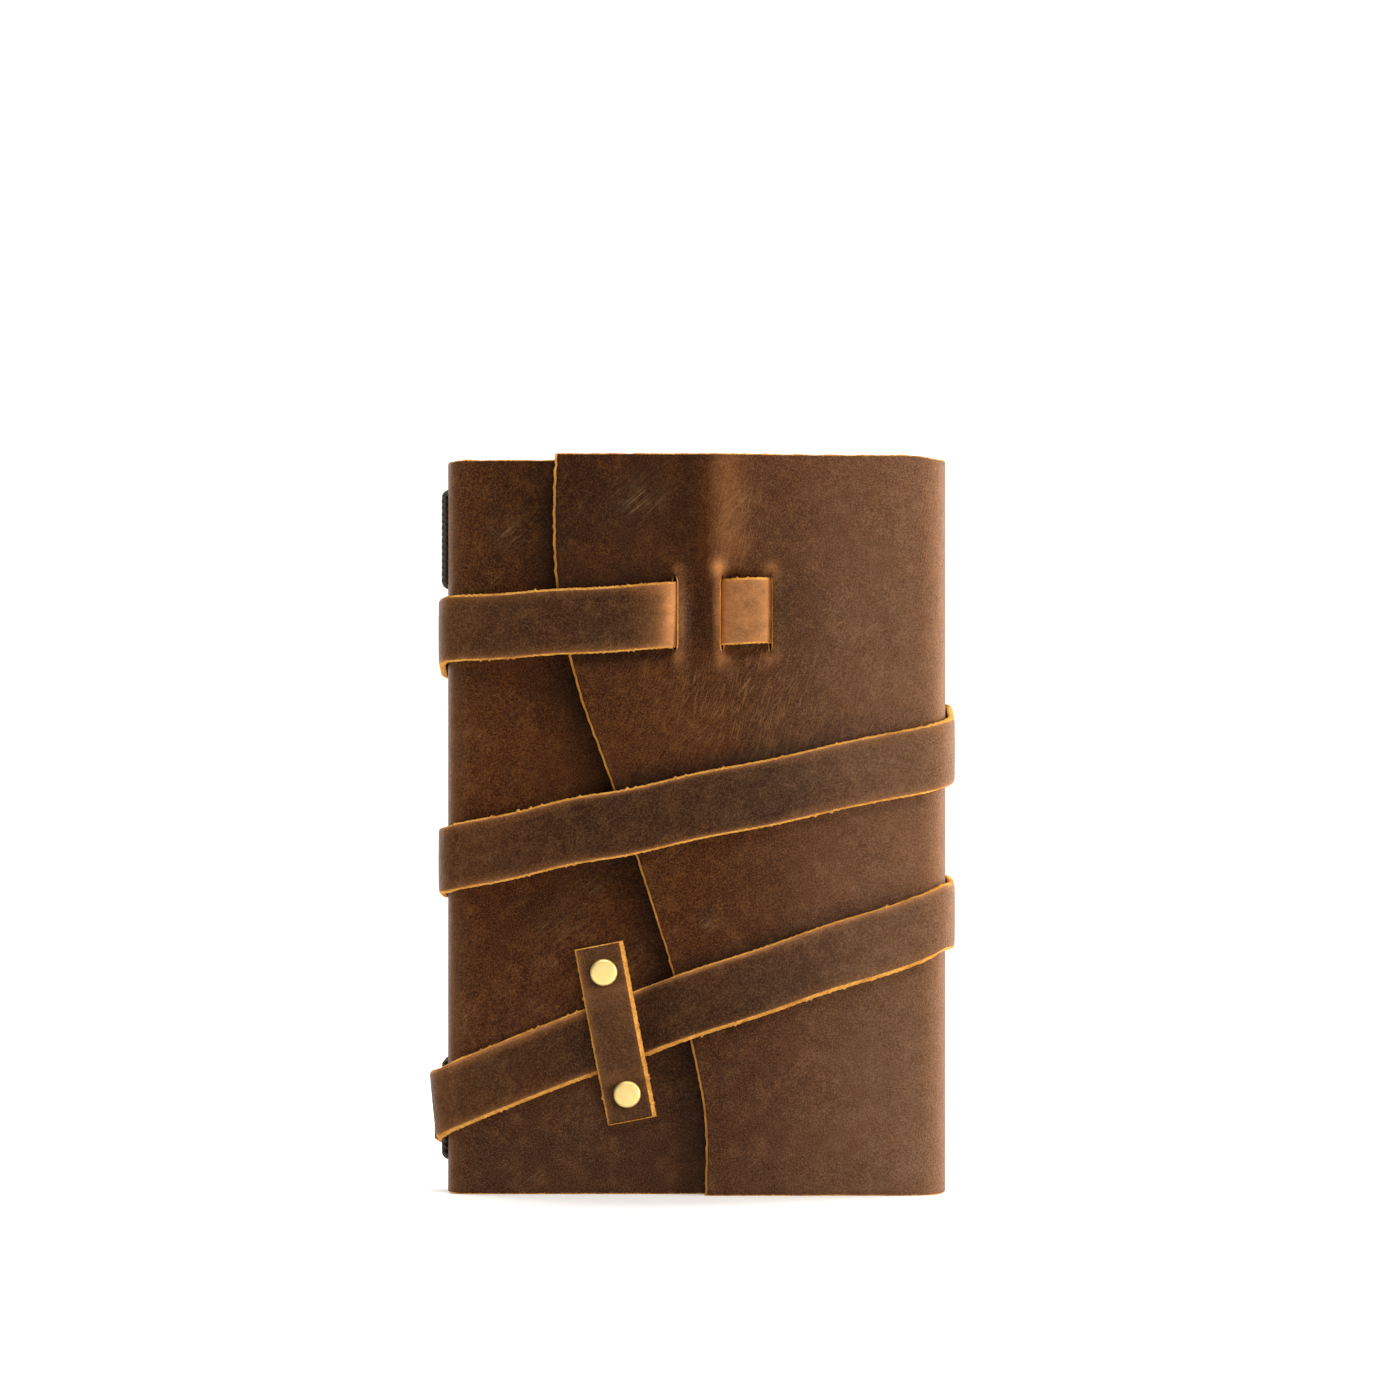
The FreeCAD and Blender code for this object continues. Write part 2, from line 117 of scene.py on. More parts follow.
def make_piece(name, verts, faces, layers, material, sharp=50):
    """A mesh in metres from millimetre vertices, with one float or vector attribute for each layer."""
    mesh = bpy.data.meshes.new(name)
    mesh.from_pydata((np.asarray(verts, float) * MM).tolist(), [], faces)
    for key, values in layers.items():
        values = np.asarray(values, np.float32)
        kind = "FLOAT_VECTOR" if values.ndim == 2 else "FLOAT"
        attribute = mesh.attributes.new(key, kind, "POINT")
        attribute.data.foreach_set("vector" if values.ndim == 2 else "value", values.ravel())
    mesh.materials.append(material)
    mesh.shade_smooth()
    mesh.set_sharp_from_angle(angle=math.radians(sharp))
    piece = show(name, mesh)
    return piece


def ring_faces(rings, around):
    """Quads joining successive closed rings, and a flat face on each end."""
    faces = []
    for i in range(rings - 1):
        for j in range(around):
            k = (j + 1) % around
            faces.append((i * around + j, i * around + k, (i + 1) * around + k, (i + 1) * around + j))
    faces.append(tuple(range(around))[::-1])
    faces.append(tuple((rings - 1) * around + j for j in range(around)))
    return faces


def outward(verts, faces):
    """The faces, all turned over if they enclose a negative volume."""
    volume = 0.0
    for f in faces:
        a = verts[f[0]]
        for b, c in zip(f[1:], f[2:]):
            volume += float(np.dot(a, np.cross(verts[b], verts[c])))
    return faces if volume > 0 else [f[::-1] for f in faces]


# Paths of straight runs and rounded corners


def rounded_route(points, radii, steps):
    """Samples a route on the level plane, with its heights.

    Gives positions (n, 3), level headings (n, 2) and the sample number of each given point.
    """
    points = np.asarray(points, float)
    xy = points[:, :2]
    level = np.concatenate([[0], np.cumsum(np.linalg.norm(np.diff(xy, axis=0), axis=1))])
    headings = [(b - a) / np.linalg.norm(b - a) for a, b in zip(xy, xy[1:])]
    out, heads, marks = [points[0]], [headings[0]], {0: 0}

    def add(p, at, heading):
        out.append([*p, np.interp(at, level, points[:, 2])])
        heads.append(heading)

    here, here_at = xy[0], 0.0
    for i in range(1, len(points)):
        inward = headings[i - 1]
        radius = radii[i - 1] if i < len(points) - 1 else 0.0
        turn = 0.0
        if radius:
            after = headings[i]
            turn = math.acos(max(-1, min(1, float(inward @ after))))
        reach = radius * math.tan(turn / 2)
        stop, stop_at = xy[i] - inward * reach, level[i] - reach
        count = max(1, int(round(float(np.linalg.norm(stop - here)) / steps[i - 1])))
        for k in range(1, count + 1):
            add(here + (stop - here) * k / count, here_at + (stop_at - here_at) * k / count, inward)
        marks[i] = len(out) - 1
        here, here_at = xy[i], level[i]
        if turn > 1e-6:
            side = np.sign(inward[0] * after[1] - inward[1] * after[0])
            arm = radius * side * np.array([inward[1], -inward[0]])
            count = max(3, int(math.degrees(turn) / 6), int(radius * turn / 1.5))
            for k in range(1, count + 1):
                a = side * turn * k / count
                rotate = np.array([[math.cos(a), -math.sin(a)], [math.sin(a), math.cos(a)]])
                add(stop - arm + rotate @ arm, stop_at + 2 * reach * k / count, rotate @ inward)
            marks[i] = len(out) - 1 - count // 2
            here, here_at = np.array(out[-1][:2]), level[i] + reach
    return np.array(out), np.array(heads), marks


# Leather strips: the strap and the keeper


def strip_section(half, thick, top_bevel, bottom_bevel):
    """Closed outline of a strip's cut, as across, outward, raw edge and flesh side values."""
    t = thick / 2
    top, bottom = half - top_bevel, -half + bottom_bevel
    middle, reach = (top + bottom) / 2, (top - bottom) / 2
    swollen = 0.10  # the grain side bulges by this much
    grain = [
        (v, t + swollen * (1 - ((v - middle) / reach) ** 2), 0, 0)
        for v in np.linspace(bottom + 1.1, top - 1.1, 9)
    ]
    flesh = [(v, -t, 0, 1) for v in np.linspace(half - 0.6, -half + 0.6, 6)]

    def side(sign, bevel):
        """A cut edge, from the grain side down to the flesh side."""
        shoulder = half - bevel
        rows = [
            (shoulder - 0.55, t - 0.02, 0, 0),
            (shoulder - 0.15, t - 0.12, 0.12, 0),
            (shoulder + 0.08, t - 0.3, 1, 0),
            (half - 0.25 * bevel, 0.1 * t, 1, 0),
            (half, -0.5 * t, 1, 0),
            (half - 0.15, -0.95 * t, 1, 0.4),
        ]
        return [(sign * across, *rest) for across, *rest in rows]

    return np.array(grain + side(1, top_bevel) + flesh + side(-1, bottom_bevel)[::-1])


def strip(name, path, sections, seed, rough, layers, taper=None, start=0.0, joins=(None, None)):
    """A strip of leather with its own cut at each place along it.

    path is its middle line and the directions out of its grain side and across it. layers(along,
    across) gives its own attributes. joins says how far each end reaches into the run that goes on.
    """
    centre, out, up = path
    count, around = len(centre), len(sections[0])
    along = np.concatenate([[0], np.cumsum(np.linalg.norm(np.diff(centre, axis=0), axis=1))])
    tear_top = waves(seed, along[:, None] + start, 2.2, 3) * rough
    tear_low = waves(seed + 1, along[:, None] + start, 2.0, 3) * rough
    rng = np.random.default_rng(seed + 2 + int(start))
    fuzz = rng.normal(size=(count, around)) * rough * 0.35
    tufts = np.where(rng.random((count, 2)) < 0.09, rng.random((count, 2)) * 4.5 * rough, 0)
    rings = []  # for each place: the points, their places on the hide, raw edge and flesh side
    for i, s in enumerate(sections):
        v = s[:, 0] * (1.0 if taper is None else taper[i])
        n, raw = s[:, 1], s[:, 2] > 0.5
        tear = np.where(v > 0, tear_top[i], -tear_low[i])
        v = v + tear * np.where(raw, 1.0, np.where(s[:, 2] > 0.05, 0.45, 0))
        v = v + np.where(raw & (s[:, 3] < 0.1), np.where(v > 0, tufts[i, 0], -tufts[i, 1]), 0)
        v = v + np.where(raw, np.sign(v) * fuzz[i], 0)
        points = centre[i] + np.outer(v, up[i]) + np.outer(n, out[i])
        on_hide = np.column_stack([np.full(around, along[i] + start + seed * 37.0), v, n])
        rings.append(np.column_stack([points, on_hide, s[:, 2:]]))
    if taper is not None:
        rings[-1][:, 6] = 1.0  # the cut across the strap's end
    for at_end, reach in enumerate(joins):
        # where another run goes on, the end isn't raw
        if reach is None:
            continue
        i, before = (-1, -2) if at_end else (0, 1)
        toward = (centre[i] - centre[before]) / np.linalg.norm(centre[i] - centre[before])
        ring = rings[i].copy()
        ring[:, :3] = centre[i] + toward * reach + (ring[:, :3] - centre[i]) * 0.9
        ring[:, 6:] = 0.0
        rings.insert(len(rings) if at_end else 0, ring)
        along = np.append(along, along[-1]) if at_end else np.insert(along, 0, along[0])
    table = np.concatenate(rings)
    verts, hide, (edge, flesh) = table[:, :3], table[:, 3:6], table[:, 6:].T
    data = {"hide": hide * MM, "edge": edge, "flesh": flesh, "scuff": np.zeros(len(verts))}
    data.update(layers(np.repeat(along, around), hide[:, 1]))
    faces = outward(verts, ring_faces(len(rings), around))
    return make_piece(name, verts, faces, data, STRAP)


# Node materials


SPAN_SOCKETS = ("From_Min", "From_Max", "To_Min", "To_Max")


class Nodes:
    """Short calls for building the nodes of a material or of the world."""

    def __init__(self, owner, shader="Principled BSDF"):
        owner.use_nodes = True
        self.owner, self.tree = owner, owner.node_tree
        self.shader = self.tree.nodes[shader]

    def fill(self, node, **values):
        """Links or sets inputs, as in_NUMBER or by their capital names, and sets the node's own values."""
        for key, value in values.items():
            if not (key.startswith("in_") or key[0].isupper()):
                setattr(node, key, value)
                continue
            socket = node.inputs[int(key[3:]) if key.startswith("in_") else key.replace("_", " ")]
            if isinstance(value, bpy.types.NodeSocket):
                self.tree.links.new(value, socket)
            else:
                socket.default_value = (*value, 1) if socket.type == "RGBA" else value
        return node

    def add(self, kind, **values):
        return self.fill(self.tree.nodes.new("ShaderNode" + kind), **values)

    def read(self, name, vector=False):
        return self.add("Attribute", attribute_name=name).outputs["Vector" if vector else "Fac"]

    def place(self):
        return self.add("TexCoord").outputs["Object"]

    def noise(self, vector, scale, detail=3.0, rough=0.55):
        node = self.add("TexNoise", Vector=vector, Scale=scale, Detail=detail, Roughness=rough)
        return node.outputs["Fac"]

    def stretch(self, vector, sizes, turn=(0, 0, 0)):
        """The vector measured in units of sizes, along axes turned by turn."""
        node = self.add("Mapping", vector_type="TEXTURE", Vector=vector, Scale=sizes, Rotation=turn)
        return node.outputs["Vector"]

    def span(self, value, *limits):
        """The value mapped from limits 1 and 2 to limits 3 and 4, or else to 0 and 1."""
        return self.add("MapRange", Value=value, **dict(zip(SPAN_SOCKETS, limits))).outputs["Result"]

    def math(self, kind, a, b=0.0):
        return self.add("Math", operation=kind, in_0=a, in_1=b).outputs[0]

    def times(self, a, b):
        return self.math("MULTIPLY", a, b)

    def larger(self, a, b):
        return self.math("MAXIMUM", a, b)

    def mix(self, factor, a, b):
        return self.add("Mix", data_type="RGBA", in_0=factor, in_6=a, in_7=b).outputs[2]

    def bump(self, height, distance, strength=1.0, **below):
        node = self.add("Bump", Strength=strength, Distance=distance, Height=height, **below)
        return node.outputs["Normal"]

    def finish(self, colour, roughness, **sockets):
        self.fill(self.shader, Base_Color=colour, Roughness=roughness, **sockets)
        return self.owner


def new_material(name):
    return Nodes(bpy.data.materials.new(name))


# Colours of waxed leather that both its materials share
# the first colour is painted shade, mixed in where the rub value is below 0
PAINTED_SHADE_DARK = (0.0085, 0.0042, 0.0017)
BURNISHED = (0.52, 0.215, 0.073)
SCRATCHED, DUSTED, CRACKED = (0.27, 0.165, 0.070), (0.14, 0.094, 0.046), (0.22, 0.105, 0.040)
# colours of pale wax bloom, which also paint sheen
BLOOM_AND_SHEEN_DARK, BLOOM_AND_SHEEN_PALE = (0.080, 0.044, 0.027), (0.185, 0.112, 0.073)
RAW_DEEP, RAW_PALE, RAW_STAINED = (0.58, 0.20, 0.026), (0.95, 0.53, 0.12), (0.36, 0.115, 0.014)
SUEDE_DARK, SUEDE_PALE, SUEDE_STAINED = (0.17, 0.08, 0.033), (0.32, 0.165, 0.075), (0.13, 0.06, 0.028)


def leather_material(name, dark, mid, olive, pale):
    """Waxed pull-up leather: mottled grain side, burnished rubs, painted shade and painted sheen, raw cut
    edges and a suede flesh side.
    """
    m = new_material(name)
    hide = m.read("hide", True)
    edge, flesh, rub_light_and_shade, bloom_and_sheen, crease, scuff = (
        m.read(k) for k in ("edge", "flesh", "rub_light_and_shade", "bloom_and_sheen", "crease", "scuff")
    )

    def streaks(sizes, turn, low, high):
        """Fine lines of these sizes in metres, slanting by turn."""
        return m.span(m.noise(m.stretch(hide, sizes, (0, turn, 0)), 1.0, 3, 0.6), low, high)

    clouds = m.noise(hide, 26, 3, 0.5)
    drift = m.noise(hide, 60, 4, 0.6)
    patches = m.noise(hide, 190, 5, 0.72)
    specks = m.noise(hide, 2300, 4, 0.75)
    dust = m.noise(hide, 3600, 2, 0.6)
    fibre = m.noise(hide, 1700, 4, 0.7)

    colour = m.mix(m.span(clouds, 0.36, 0.64), dark, mid)
    colour = m.mix(m.times(m.span(drift, 0.46, 0.70), 0.75), colour, olive)
    colour = m.mix(m.times(m.span(patches, 0.50, 0.74), 0.38), colour, pale)
    colour = m.mix(m.times(m.span(specks, 0.52, 0.64), 0.55), colour, pale)
    colour = m.mix(m.times(m.span(specks, 0.49, 0.39), 0.80), colour, tuple(c * 0.25 for c in dark))
    colour = m.mix(m.times(m.span(dust, 0.55, 0.75), 0.45), colour, pale)

    worn = m.times(m.span(m.noise(hide, 48, 2), 0.56, 0.70), 0.3)
    rising = m.times(streaks((0.0004, 0.004, 0.010), 0.85, 0.56, 0.68), m.larger(worn, scuff))
    falling = m.times(streaks((0.0005, 0.004, 0.010), -0.7, 0.62, 0.74), worn)
    dusted = m.times(scuff, m.span(m.noise(hide, 520, 3, 0.6), 0.42, 0.66))
    colour = m.mix(m.times(dusted, 0.38), colour, DUSTED)
    colour = m.mix(m.times(m.larger(rising, falling), 0.85), colour, SCRATCHED)

    # the rub value burnishes the hide where it's above 0, and in places that lightening is painted light;
    # where it's below 0 it paints shade
    painted_shade = m.times(m.times(rub_light_and_shade, -1.0), m.span(patches, 0.3, 0.7, 1.15, 0.8))
    colour = m.mix(painted_shade, colour, PAINTED_SHADE_DARK)
    rubbed = m.times(rub_light_and_shade, m.span(m.noise(hide, 260, 4, 0.65), 0.25, 0.75, 0.5, 1.2))
    rubbed = m.times(rubbed, m.span(specks, 0.3, 0.7, 0.75, 1.15))
    colour = m.mix(m.math("MINIMUM", rubbed, 1.0), colour, BURNISHED)
    wrinkles = m.larger(
        streaks((0.00040, 0.004, 0.0070), 0.22, 0.54, 0.68),
        streaks((0.00036, 0.004, 0.0060), 0.60, 0.55, 0.70),
    )
    cracked = m.times(wrinkles, crease)
    colour = m.mix(m.times(cracked, 0.70), colour, CRACKED)
    # the bloom value mixes in pale wax bloom, and, where it grows towards the right, a painted sheen
    bloom_and_sheen_colour = m.mix(m.span(specks, 0.40, 0.60), BLOOM_AND_SHEEN_DARK, BLOOM_AND_SHEEN_PALE)
    colour = m.mix(m.times(bloom_and_sheen, m.span(patches, 0.3, 0.7, 0.60, 1.3)), colour, bloom_and_sheen_colour)

    suede = m.mix(m.span(m.noise(hide, 900, 4, 0.7), 0.3, 0.7), SUEDE_DARK, SUEDE_PALE)
    suede = m.mix(m.times(m.span(clouds, 0.4, 0.7), 0.4), suede, SUEDE_STAINED)
    colour = m.mix(flesh, colour, suede)
    raw = m.mix(m.span(fibre, 0.3, 0.72), RAW_DEEP, RAW_PALE)
    raw = m.mix(m.times(m.span(m.noise(hide, 170, 3, 0.6), 0.46, 0.66), 0.55), raw, RAW_STAINED)
    torn = m.math("ADD", edge, m.span(fibre, 0.3, 0.7, -0.16, 0.16))
    colour = m.mix(m.span(torn, 0.40, 0.62), colour, raw)

    soft = m.larger(flesh, edge)
    normal = m.bump(m.noise(hide, 300, 3, 0.6), 0.0004, 0.30)
    normal = m.bump(specks, 0.00030, 0.70, Normal=normal)
    normal = m.bump(cracked, 0.00030, 0.6, Normal=normal)
    normal = m.bump(m.times(fibre, soft), 0.0006, 0.8, Normal=normal)
    rough = m.math("ADD", m.span(patches, 0.3, 0.75, 0.42, 0.58), m.times(soft, 0.4))
    return m.finish(colour, m.math("MINIMUM", rough, 0.95), Normal=normal, Specular_IOR_Level=0.05)


def paper_material():
    m = new_material("paper")
    hide = m.read("hide", True)
    tone = m.mix(m.span(m.noise(hide, 60, 4), 0.3, 0.7), (0.60, 0.53, 0.40), (0.68, 0.62, 0.49))
    fleck = m.span(m.noise(hide, 1400, 2), 0.62, 0.8)
    tone = m.mix(m.times(fleck, 0.35), tone, (0.45, 0.37, 0.26))
    dingy = m.times(m.read("edge"), m.span(m.noise(hide, 500, 3), 0.3, 0.7, 0.2, 0.7))
    tone = m.mix(dingy, tone, (0.60, 0.50, 0.35))
    normal = m.bump(m.noise(hide, 1800, 3), 0.00008, 0.5)
    rough = m.span(m.noise(hide, 300, 2), 0.3, 0.7, 0.75, 0.9)
    return m.finish(tone, rough, Normal=normal, Specular_IOR_Level=0.25)


def cord_material():
    """Waxed black-brown cord: its twist shows as slanting strands."""
    m = new_material("waxed_cord")
    place = m.place()
    strands = m.add("TexWave", wave_type="BANDS", bands_direction="DIAGONAL", wave_profile="SIN")
    m.fill(strands, Vector=m.stretch(place, (2.5, 0.85, 1.0)), Scale=330, Distortion=0.6)
    twist = strands.outputs["Fac"]
    hairs = m.noise(m.stretch(place, (0.0004, 0.0004, 0.001)), 1.0, 3, 0.6)
    colour = m.mix(m.span(twist, 0.0, 0.7), (0.010, 0.007, 0.005), (0.040, 0.028, 0.020))
    colour = m.mix(m.times(m.span(hairs, 0.5, 0.8), 0.4), colour, (0.09, 0.065, 0.045))
    normal = m.bump(hairs, 0.0001, 0.5, Normal=m.bump(twist, 0.0004, 0.9))
    rough = m.span(hairs, 0.3, 0.7, 0.42, 0.62)
    return m.finish(colour, rough, Normal=normal, Specular_IOR_Level=0.4)


def brass_material():
    m = new_material("satin_brass")
    place = m.place()
    grain = m.noise(place, 5200, 3, 0.6)
    colour = m.mix(m.span(m.noise(place, 500, 3), 0.3, 0.7), (0.95, 0.70, 0.25), (0.98, 0.79, 0.35))
    colour = m.mix(m.times(m.span(grain, 0.6, 0.8), 0.5), colour, (0.62, 0.44, 0.17))
    rough = m.span(grain, 0.3, 0.7, 0.46, 0.60)
    return m.finish(colour, rough, Normal=m.bump(grain, 0.00005, 0.5), Metallic=1.0)


# The two leathers
WRAP_TONES = (0.022, 0.0056, 0.0010), (0.052, 0.0135, 0.0026), (0.033, 0.0130, 0.0038), (0.18, 0.067, 0.016)
STRAP_TONES = (0.021, 0.0066, 0.0017), (0.042, 0.0128, 0.0032), (0.032, 0.0144, 0.0054), (0.15, 0.067, 0.021)
WRAP = leather_material("wrap_hide", *WRAP_TONES)
STRAP = leather_material("strap_hide", *STRAP_TONES)
PAPER = paper_material()
CORD = cord_material()
BRASS = brass_material()


# The wrap: one hide as three pieces that meet in the middle of the spine and of the fore-edge


def line(p, q, step, normal):
    count = max(2, int(round(math.dist(p, q) / step)) + 1)
    t = np.linspace(0, 1, count)[:, None]
    points = np.array(p) + (np.array(q) - np.array(p)) * t
    return points, np.tile(normal, (count, 1))


def arc(cx, cy, radius, start, end, step=6):
    count = max(3, int(abs(end - start) / step) + 1)
    a = np.radians(np.linspace(start, end, count))
    normals = np.column_stack([np.cos(a), np.sin(a)])
    return np.array([cx, cy]) + radius * normals, normals


def joined(*parts):
    """One outline from consecutive ones that share their end points."""
    points = np.concatenate([parts[0][0]] + [p[0][1:] for p in parts[1:]])
    normals = np.concatenate([parts[0][1]] + [p[1][1:] for p in parts[1:]])
    return points, normals


RIM_SHARES = (0.0016, 0.0045)  # heights of the first rows beside a cut edge


def height_rows(step, marks=()):
    """Shares of the height, close together at both cut edges."""
    near, far = RIM_SHARES
    stops = [far, *marks, 1 - far]
    rows = [0.0, near, far]
    for low, high in zip(stops, stops[1:]):
        count = max(1, int(round((high - low) * FLAP_HEIGHT / step)))
        rows += [low + (high - low) * k / count for k in range(1, count + 1)]
    return np.array(rows + [1 - near, 1.0])


def slab(name, outer, inner, edge, fields, split=None):
    """A closed sheet of leather between two grids of points (columns, rows, 3).

    edge says how raw each point is, and fields hold its other attributes. split maps (column, row) to
    the offsets of a cut's two sides there: the column's points are doubled, and the sides drawn apart.
    """
    columns, rows = outer.shape[:2]
    split = split or {}
    verts, index = [], {}
    layers = {key: [] for key in ("hide", "edge", "flesh", *fields)}

    def add(face, i, j, side, offset, raw):
        grid = outer if face == "o" else inner
        index[face, i, j, side] = len(verts)
        verts.append(grid[i, j] + offset)
        layers["hide"].append(grid[i, j])
        layers["edge"].append(raw)
        layers["flesh"].append(float(face == "i" and raw < 0.5))
        for key, field in fields.items():
            layers[key].append(field[i, j])

    for face in "oi":
        for i in range(columns):
            for j in range(rows):
                if (i, j) in split:
                    for side, offset in enumerate(split[i, j]):
                        add(face, i, j, side, offset, 1.0)
                else:
                    add(face, i, j, 0, 0, edge[i, j] if face == "o" else float(edge[i, j] > 0.45))

    def at(face, point, side):
        return index.get((face, *point, side), index[(face, *point, 0)])

    def wall(a, b, side=0):
        """The face through the sheet between two neighbouring points."""
        return at("o", a, side), at("o", b, side), at("i", b, side), at("i", a, side)

    last, top = columns - 1, rows - 1
    faces = []
    for i in range(last):
        for j in range(top):
            quad = [((i, j), 1), ((i + 1, j), 0), ((i + 1, j + 1), 0), ((i, j + 1), 1)]
            faces.append(tuple(at("o", *q) for q in quad))
            faces.append(tuple(at("i", *q) for q in quad[::-1]))
        faces += [wall((i + 1, 0), (i, 0)), wall((i, top), (i + 1, top))]
    for j in range(top):
        faces += [wall((0, j), (0, j + 1)), wall((last, j + 1), (last, j))]
        for i in range(columns):
            if (i, j) in split or (i, j + 1) in split:
                faces += [wall((i, j), (i, j + 1))[::-1], wall((i, j + 1), (i, j), 1)[::-1]]
    verts = np.array(verts)
    data = {key: np.array(values) * (MM if key == "hide" else 1.0) for key, values in layers.items()}
    return make_piece(name, verts, outward(verts, faces), data, WRAP, 48)


RIM_BEVELS = (0.5, 0.1)  # how far the grain side drops at a cut edge, and in the row beside it


def wrap_grids(outline, top, foot, rows, swell):
    """Outer and inner grids of an upright sheet along an outline, with rounded-over cut edges."""
    points, normals = outline
    outer = np.zeros((len(points), len(rows), 3))
    inner = np.zeros_like(outer)
    bevel = np.zeros(len(rows))
    bevel[[0, -1]], bevel[[1, -2]] = RIM_BEVELS
    for i, (point, normal) in enumerate(zip(points, normals)):
        z = foot[i] + (top[i] - foot[i]) * rows
        push = swell(point, normal, z)
        outer[i, :, :2] = point + np.outer(push - bevel, normal)
        inner[i, :, :2] = point + np.outer(push - LEATHER, normal)
        outer[i, :, 2] = inner[i, :, 2] = z
    return outer, inner


def rim(columns, rows, free_end=False):
    """Raw-edge values: 1 on the cut edges at top and bottom, and on the last column if it's free."""
    edge = np.zeros((columns, rows))
    edge[:, [0, -1]] = 1.0
    edge[:, [1, -2]] = 0.42
    if free_end:
        edge[-1, :] = 1.0
    return edge


def tear_rows(outer, inner, seed, last_is_seam=False):
    """Makes the cut edges at top and bottom a little uneven, but even at the seams with the next piece."""
    columns = outer.shape[0]
    calm = smooth(np.arange(columns) / 6)
    if last_is_seam:
        calm = calm * calm[::-1]
    for row, s in ((0, seed), (-1, seed + 1)):
        wave = ragged(s, columns, 1.3, 9) * 0.16 * calm
        if row == 0:
            wave = np.abs(wave) * 0.5
        outer[:, row, 2] += wave
        inner[:, row, 2] += wave


def spots(x, z, rows):
    """Sum of soft spots, each an amount, a middle and reach along X, and perhaps the same along Z."""
    total = np.zeros_like(x)
    for amount, x_middle, x_reach, *upright in rows:
        spot = amount * hump(x, x_middle, x_reach)
        total += spot * hump(z, *upright) if upright else spot
    return total


FRONT_SPINE_Y = Y_COVER + SPINE_RADIUS
BACK_SPINE_Y = Y_BACK - SPINE_RADIUS
FORE_FRONT_Y = Y_FLAP + FORE_RADIUS
FORE_BACK_Y = Y_BACK - FORE_RADIUS
SEAM_Y = -1.2  # where the front and back pieces of the wrap meet on the spine


HIDE_BLOOM, SEAM_RUB, SEAM_CREASE = 0.22, 0.08, 0.14  # values at the seams, the same on both pieces
# the lowest rub value: the darkest painted shade
DEEPEST_PAINTED_SHADE = -0.8


COVER_SCUFFS = ((0.35, -54, 9, 190, 6), (0.28, -40, 8, 76, 6), (0.3, -30, 7, 24, 6))


def slack(seed, amount, size, x, z, calm):
    """Slow unevenness of a flat panel, which calm takes away near its folds."""
    return amount * waves(seed, np.column_stack([np.full(len(z), x), z]), size, 2) * calm


def front_swell(point, normal, z):
    calm = smooth((point[0] + 66) / 12) if normal[1] < -0.9 else 0.0
    return slack(11, 0.22, 75, point[0], z, calm)


def back_swell(point, normal, z):
    calm = smooth((66 - abs(point[0])) / 12) if normal[1] > 0.9 else 0.0
    return slack(12, 0.25, 80, point[0], z, calm)


def cover_grids(outline, swell, free_end):
    """Grids and raw-edge values of the front or back piece, whose cut edges drop round the corners."""
    x, rows = outline[0][:, 0], height_rows(1.6)
    top = COVER_HEIGHT - 0.55 * hump(x, X_SPINE, 2.6)
    foot = 0.25 * hump(x, X_SPINE, 2.0)
    if not free_end:
        foot = foot + 0.35 * hump(x, X_FORE, 2.2)
    return *wrap_grids(outline, top, foot, rows, swell), rim(len(x), len(rows), free_end)


def front_piece():
    outline = joined(
        line((X_SPINE, SEAM_Y), (X_SPINE, FRONT_SPINE_Y), 1.4, (-1, 0)),
        arc(SPINE_CENTRE_X, FRONT_SPINE_Y, SPINE_RADIUS, 180, 270),
        line((SPINE_CENTRE_X, Y_COVER), (COVER_FREE_EDGE - 0.6, Y_COVER), 1.6, (0, -1)),
        line((COVER_FREE_EDGE - 0.6, Y_COVER), (COVER_FREE_EDGE, Y_COVER), 0.6, (0, -1)),
    )
    outer, inner, edge = cover_grids(outline, front_swell, True)
    outer[-1, :, 1] += 0.5
    tear_rows(outer, inner, 21)
    x, z = outer[:, :, 0], outer[:, :, 2]
    beside = hermite(z, EDGE_Z, EDGE_X) - x  # how far the flap's free edge lies from here
    # painted shadow of the flap's free edge on the cover
    painted_flap_shadow = 0.34 * hump(np.maximum(beside, 0), 0, 5) + 0.22 * hump(np.maximum(beside, 0), 0, 18)
    rub_light_and_shade = 0.22 * hump(x, X_SPINE + 0.6, 2.6) - painted_flap_shadow * smooth((beside + 16) / 15)
    past_spine = smooth((x - X_SPINE) / 7)
    fields = {
        "rub_light_and_shade": np.clip(rub_light_and_shade, DEEPEST_PAINTED_SHADE, 1),
        "bloom_and_sheen": HIDE_BLOOM + (0.16 * smooth((90 - z) / 90) - HIDE_BLOOM) * past_spine,
        "crease": 0.25 * hump(x, X_SPINE + 3, 5),
        "scuff": spots(x, z, COVER_SCUFFS),
    }
    piece = slab("cover_front", outer, inner, edge, fields)
    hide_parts("front_cover")
    return piece


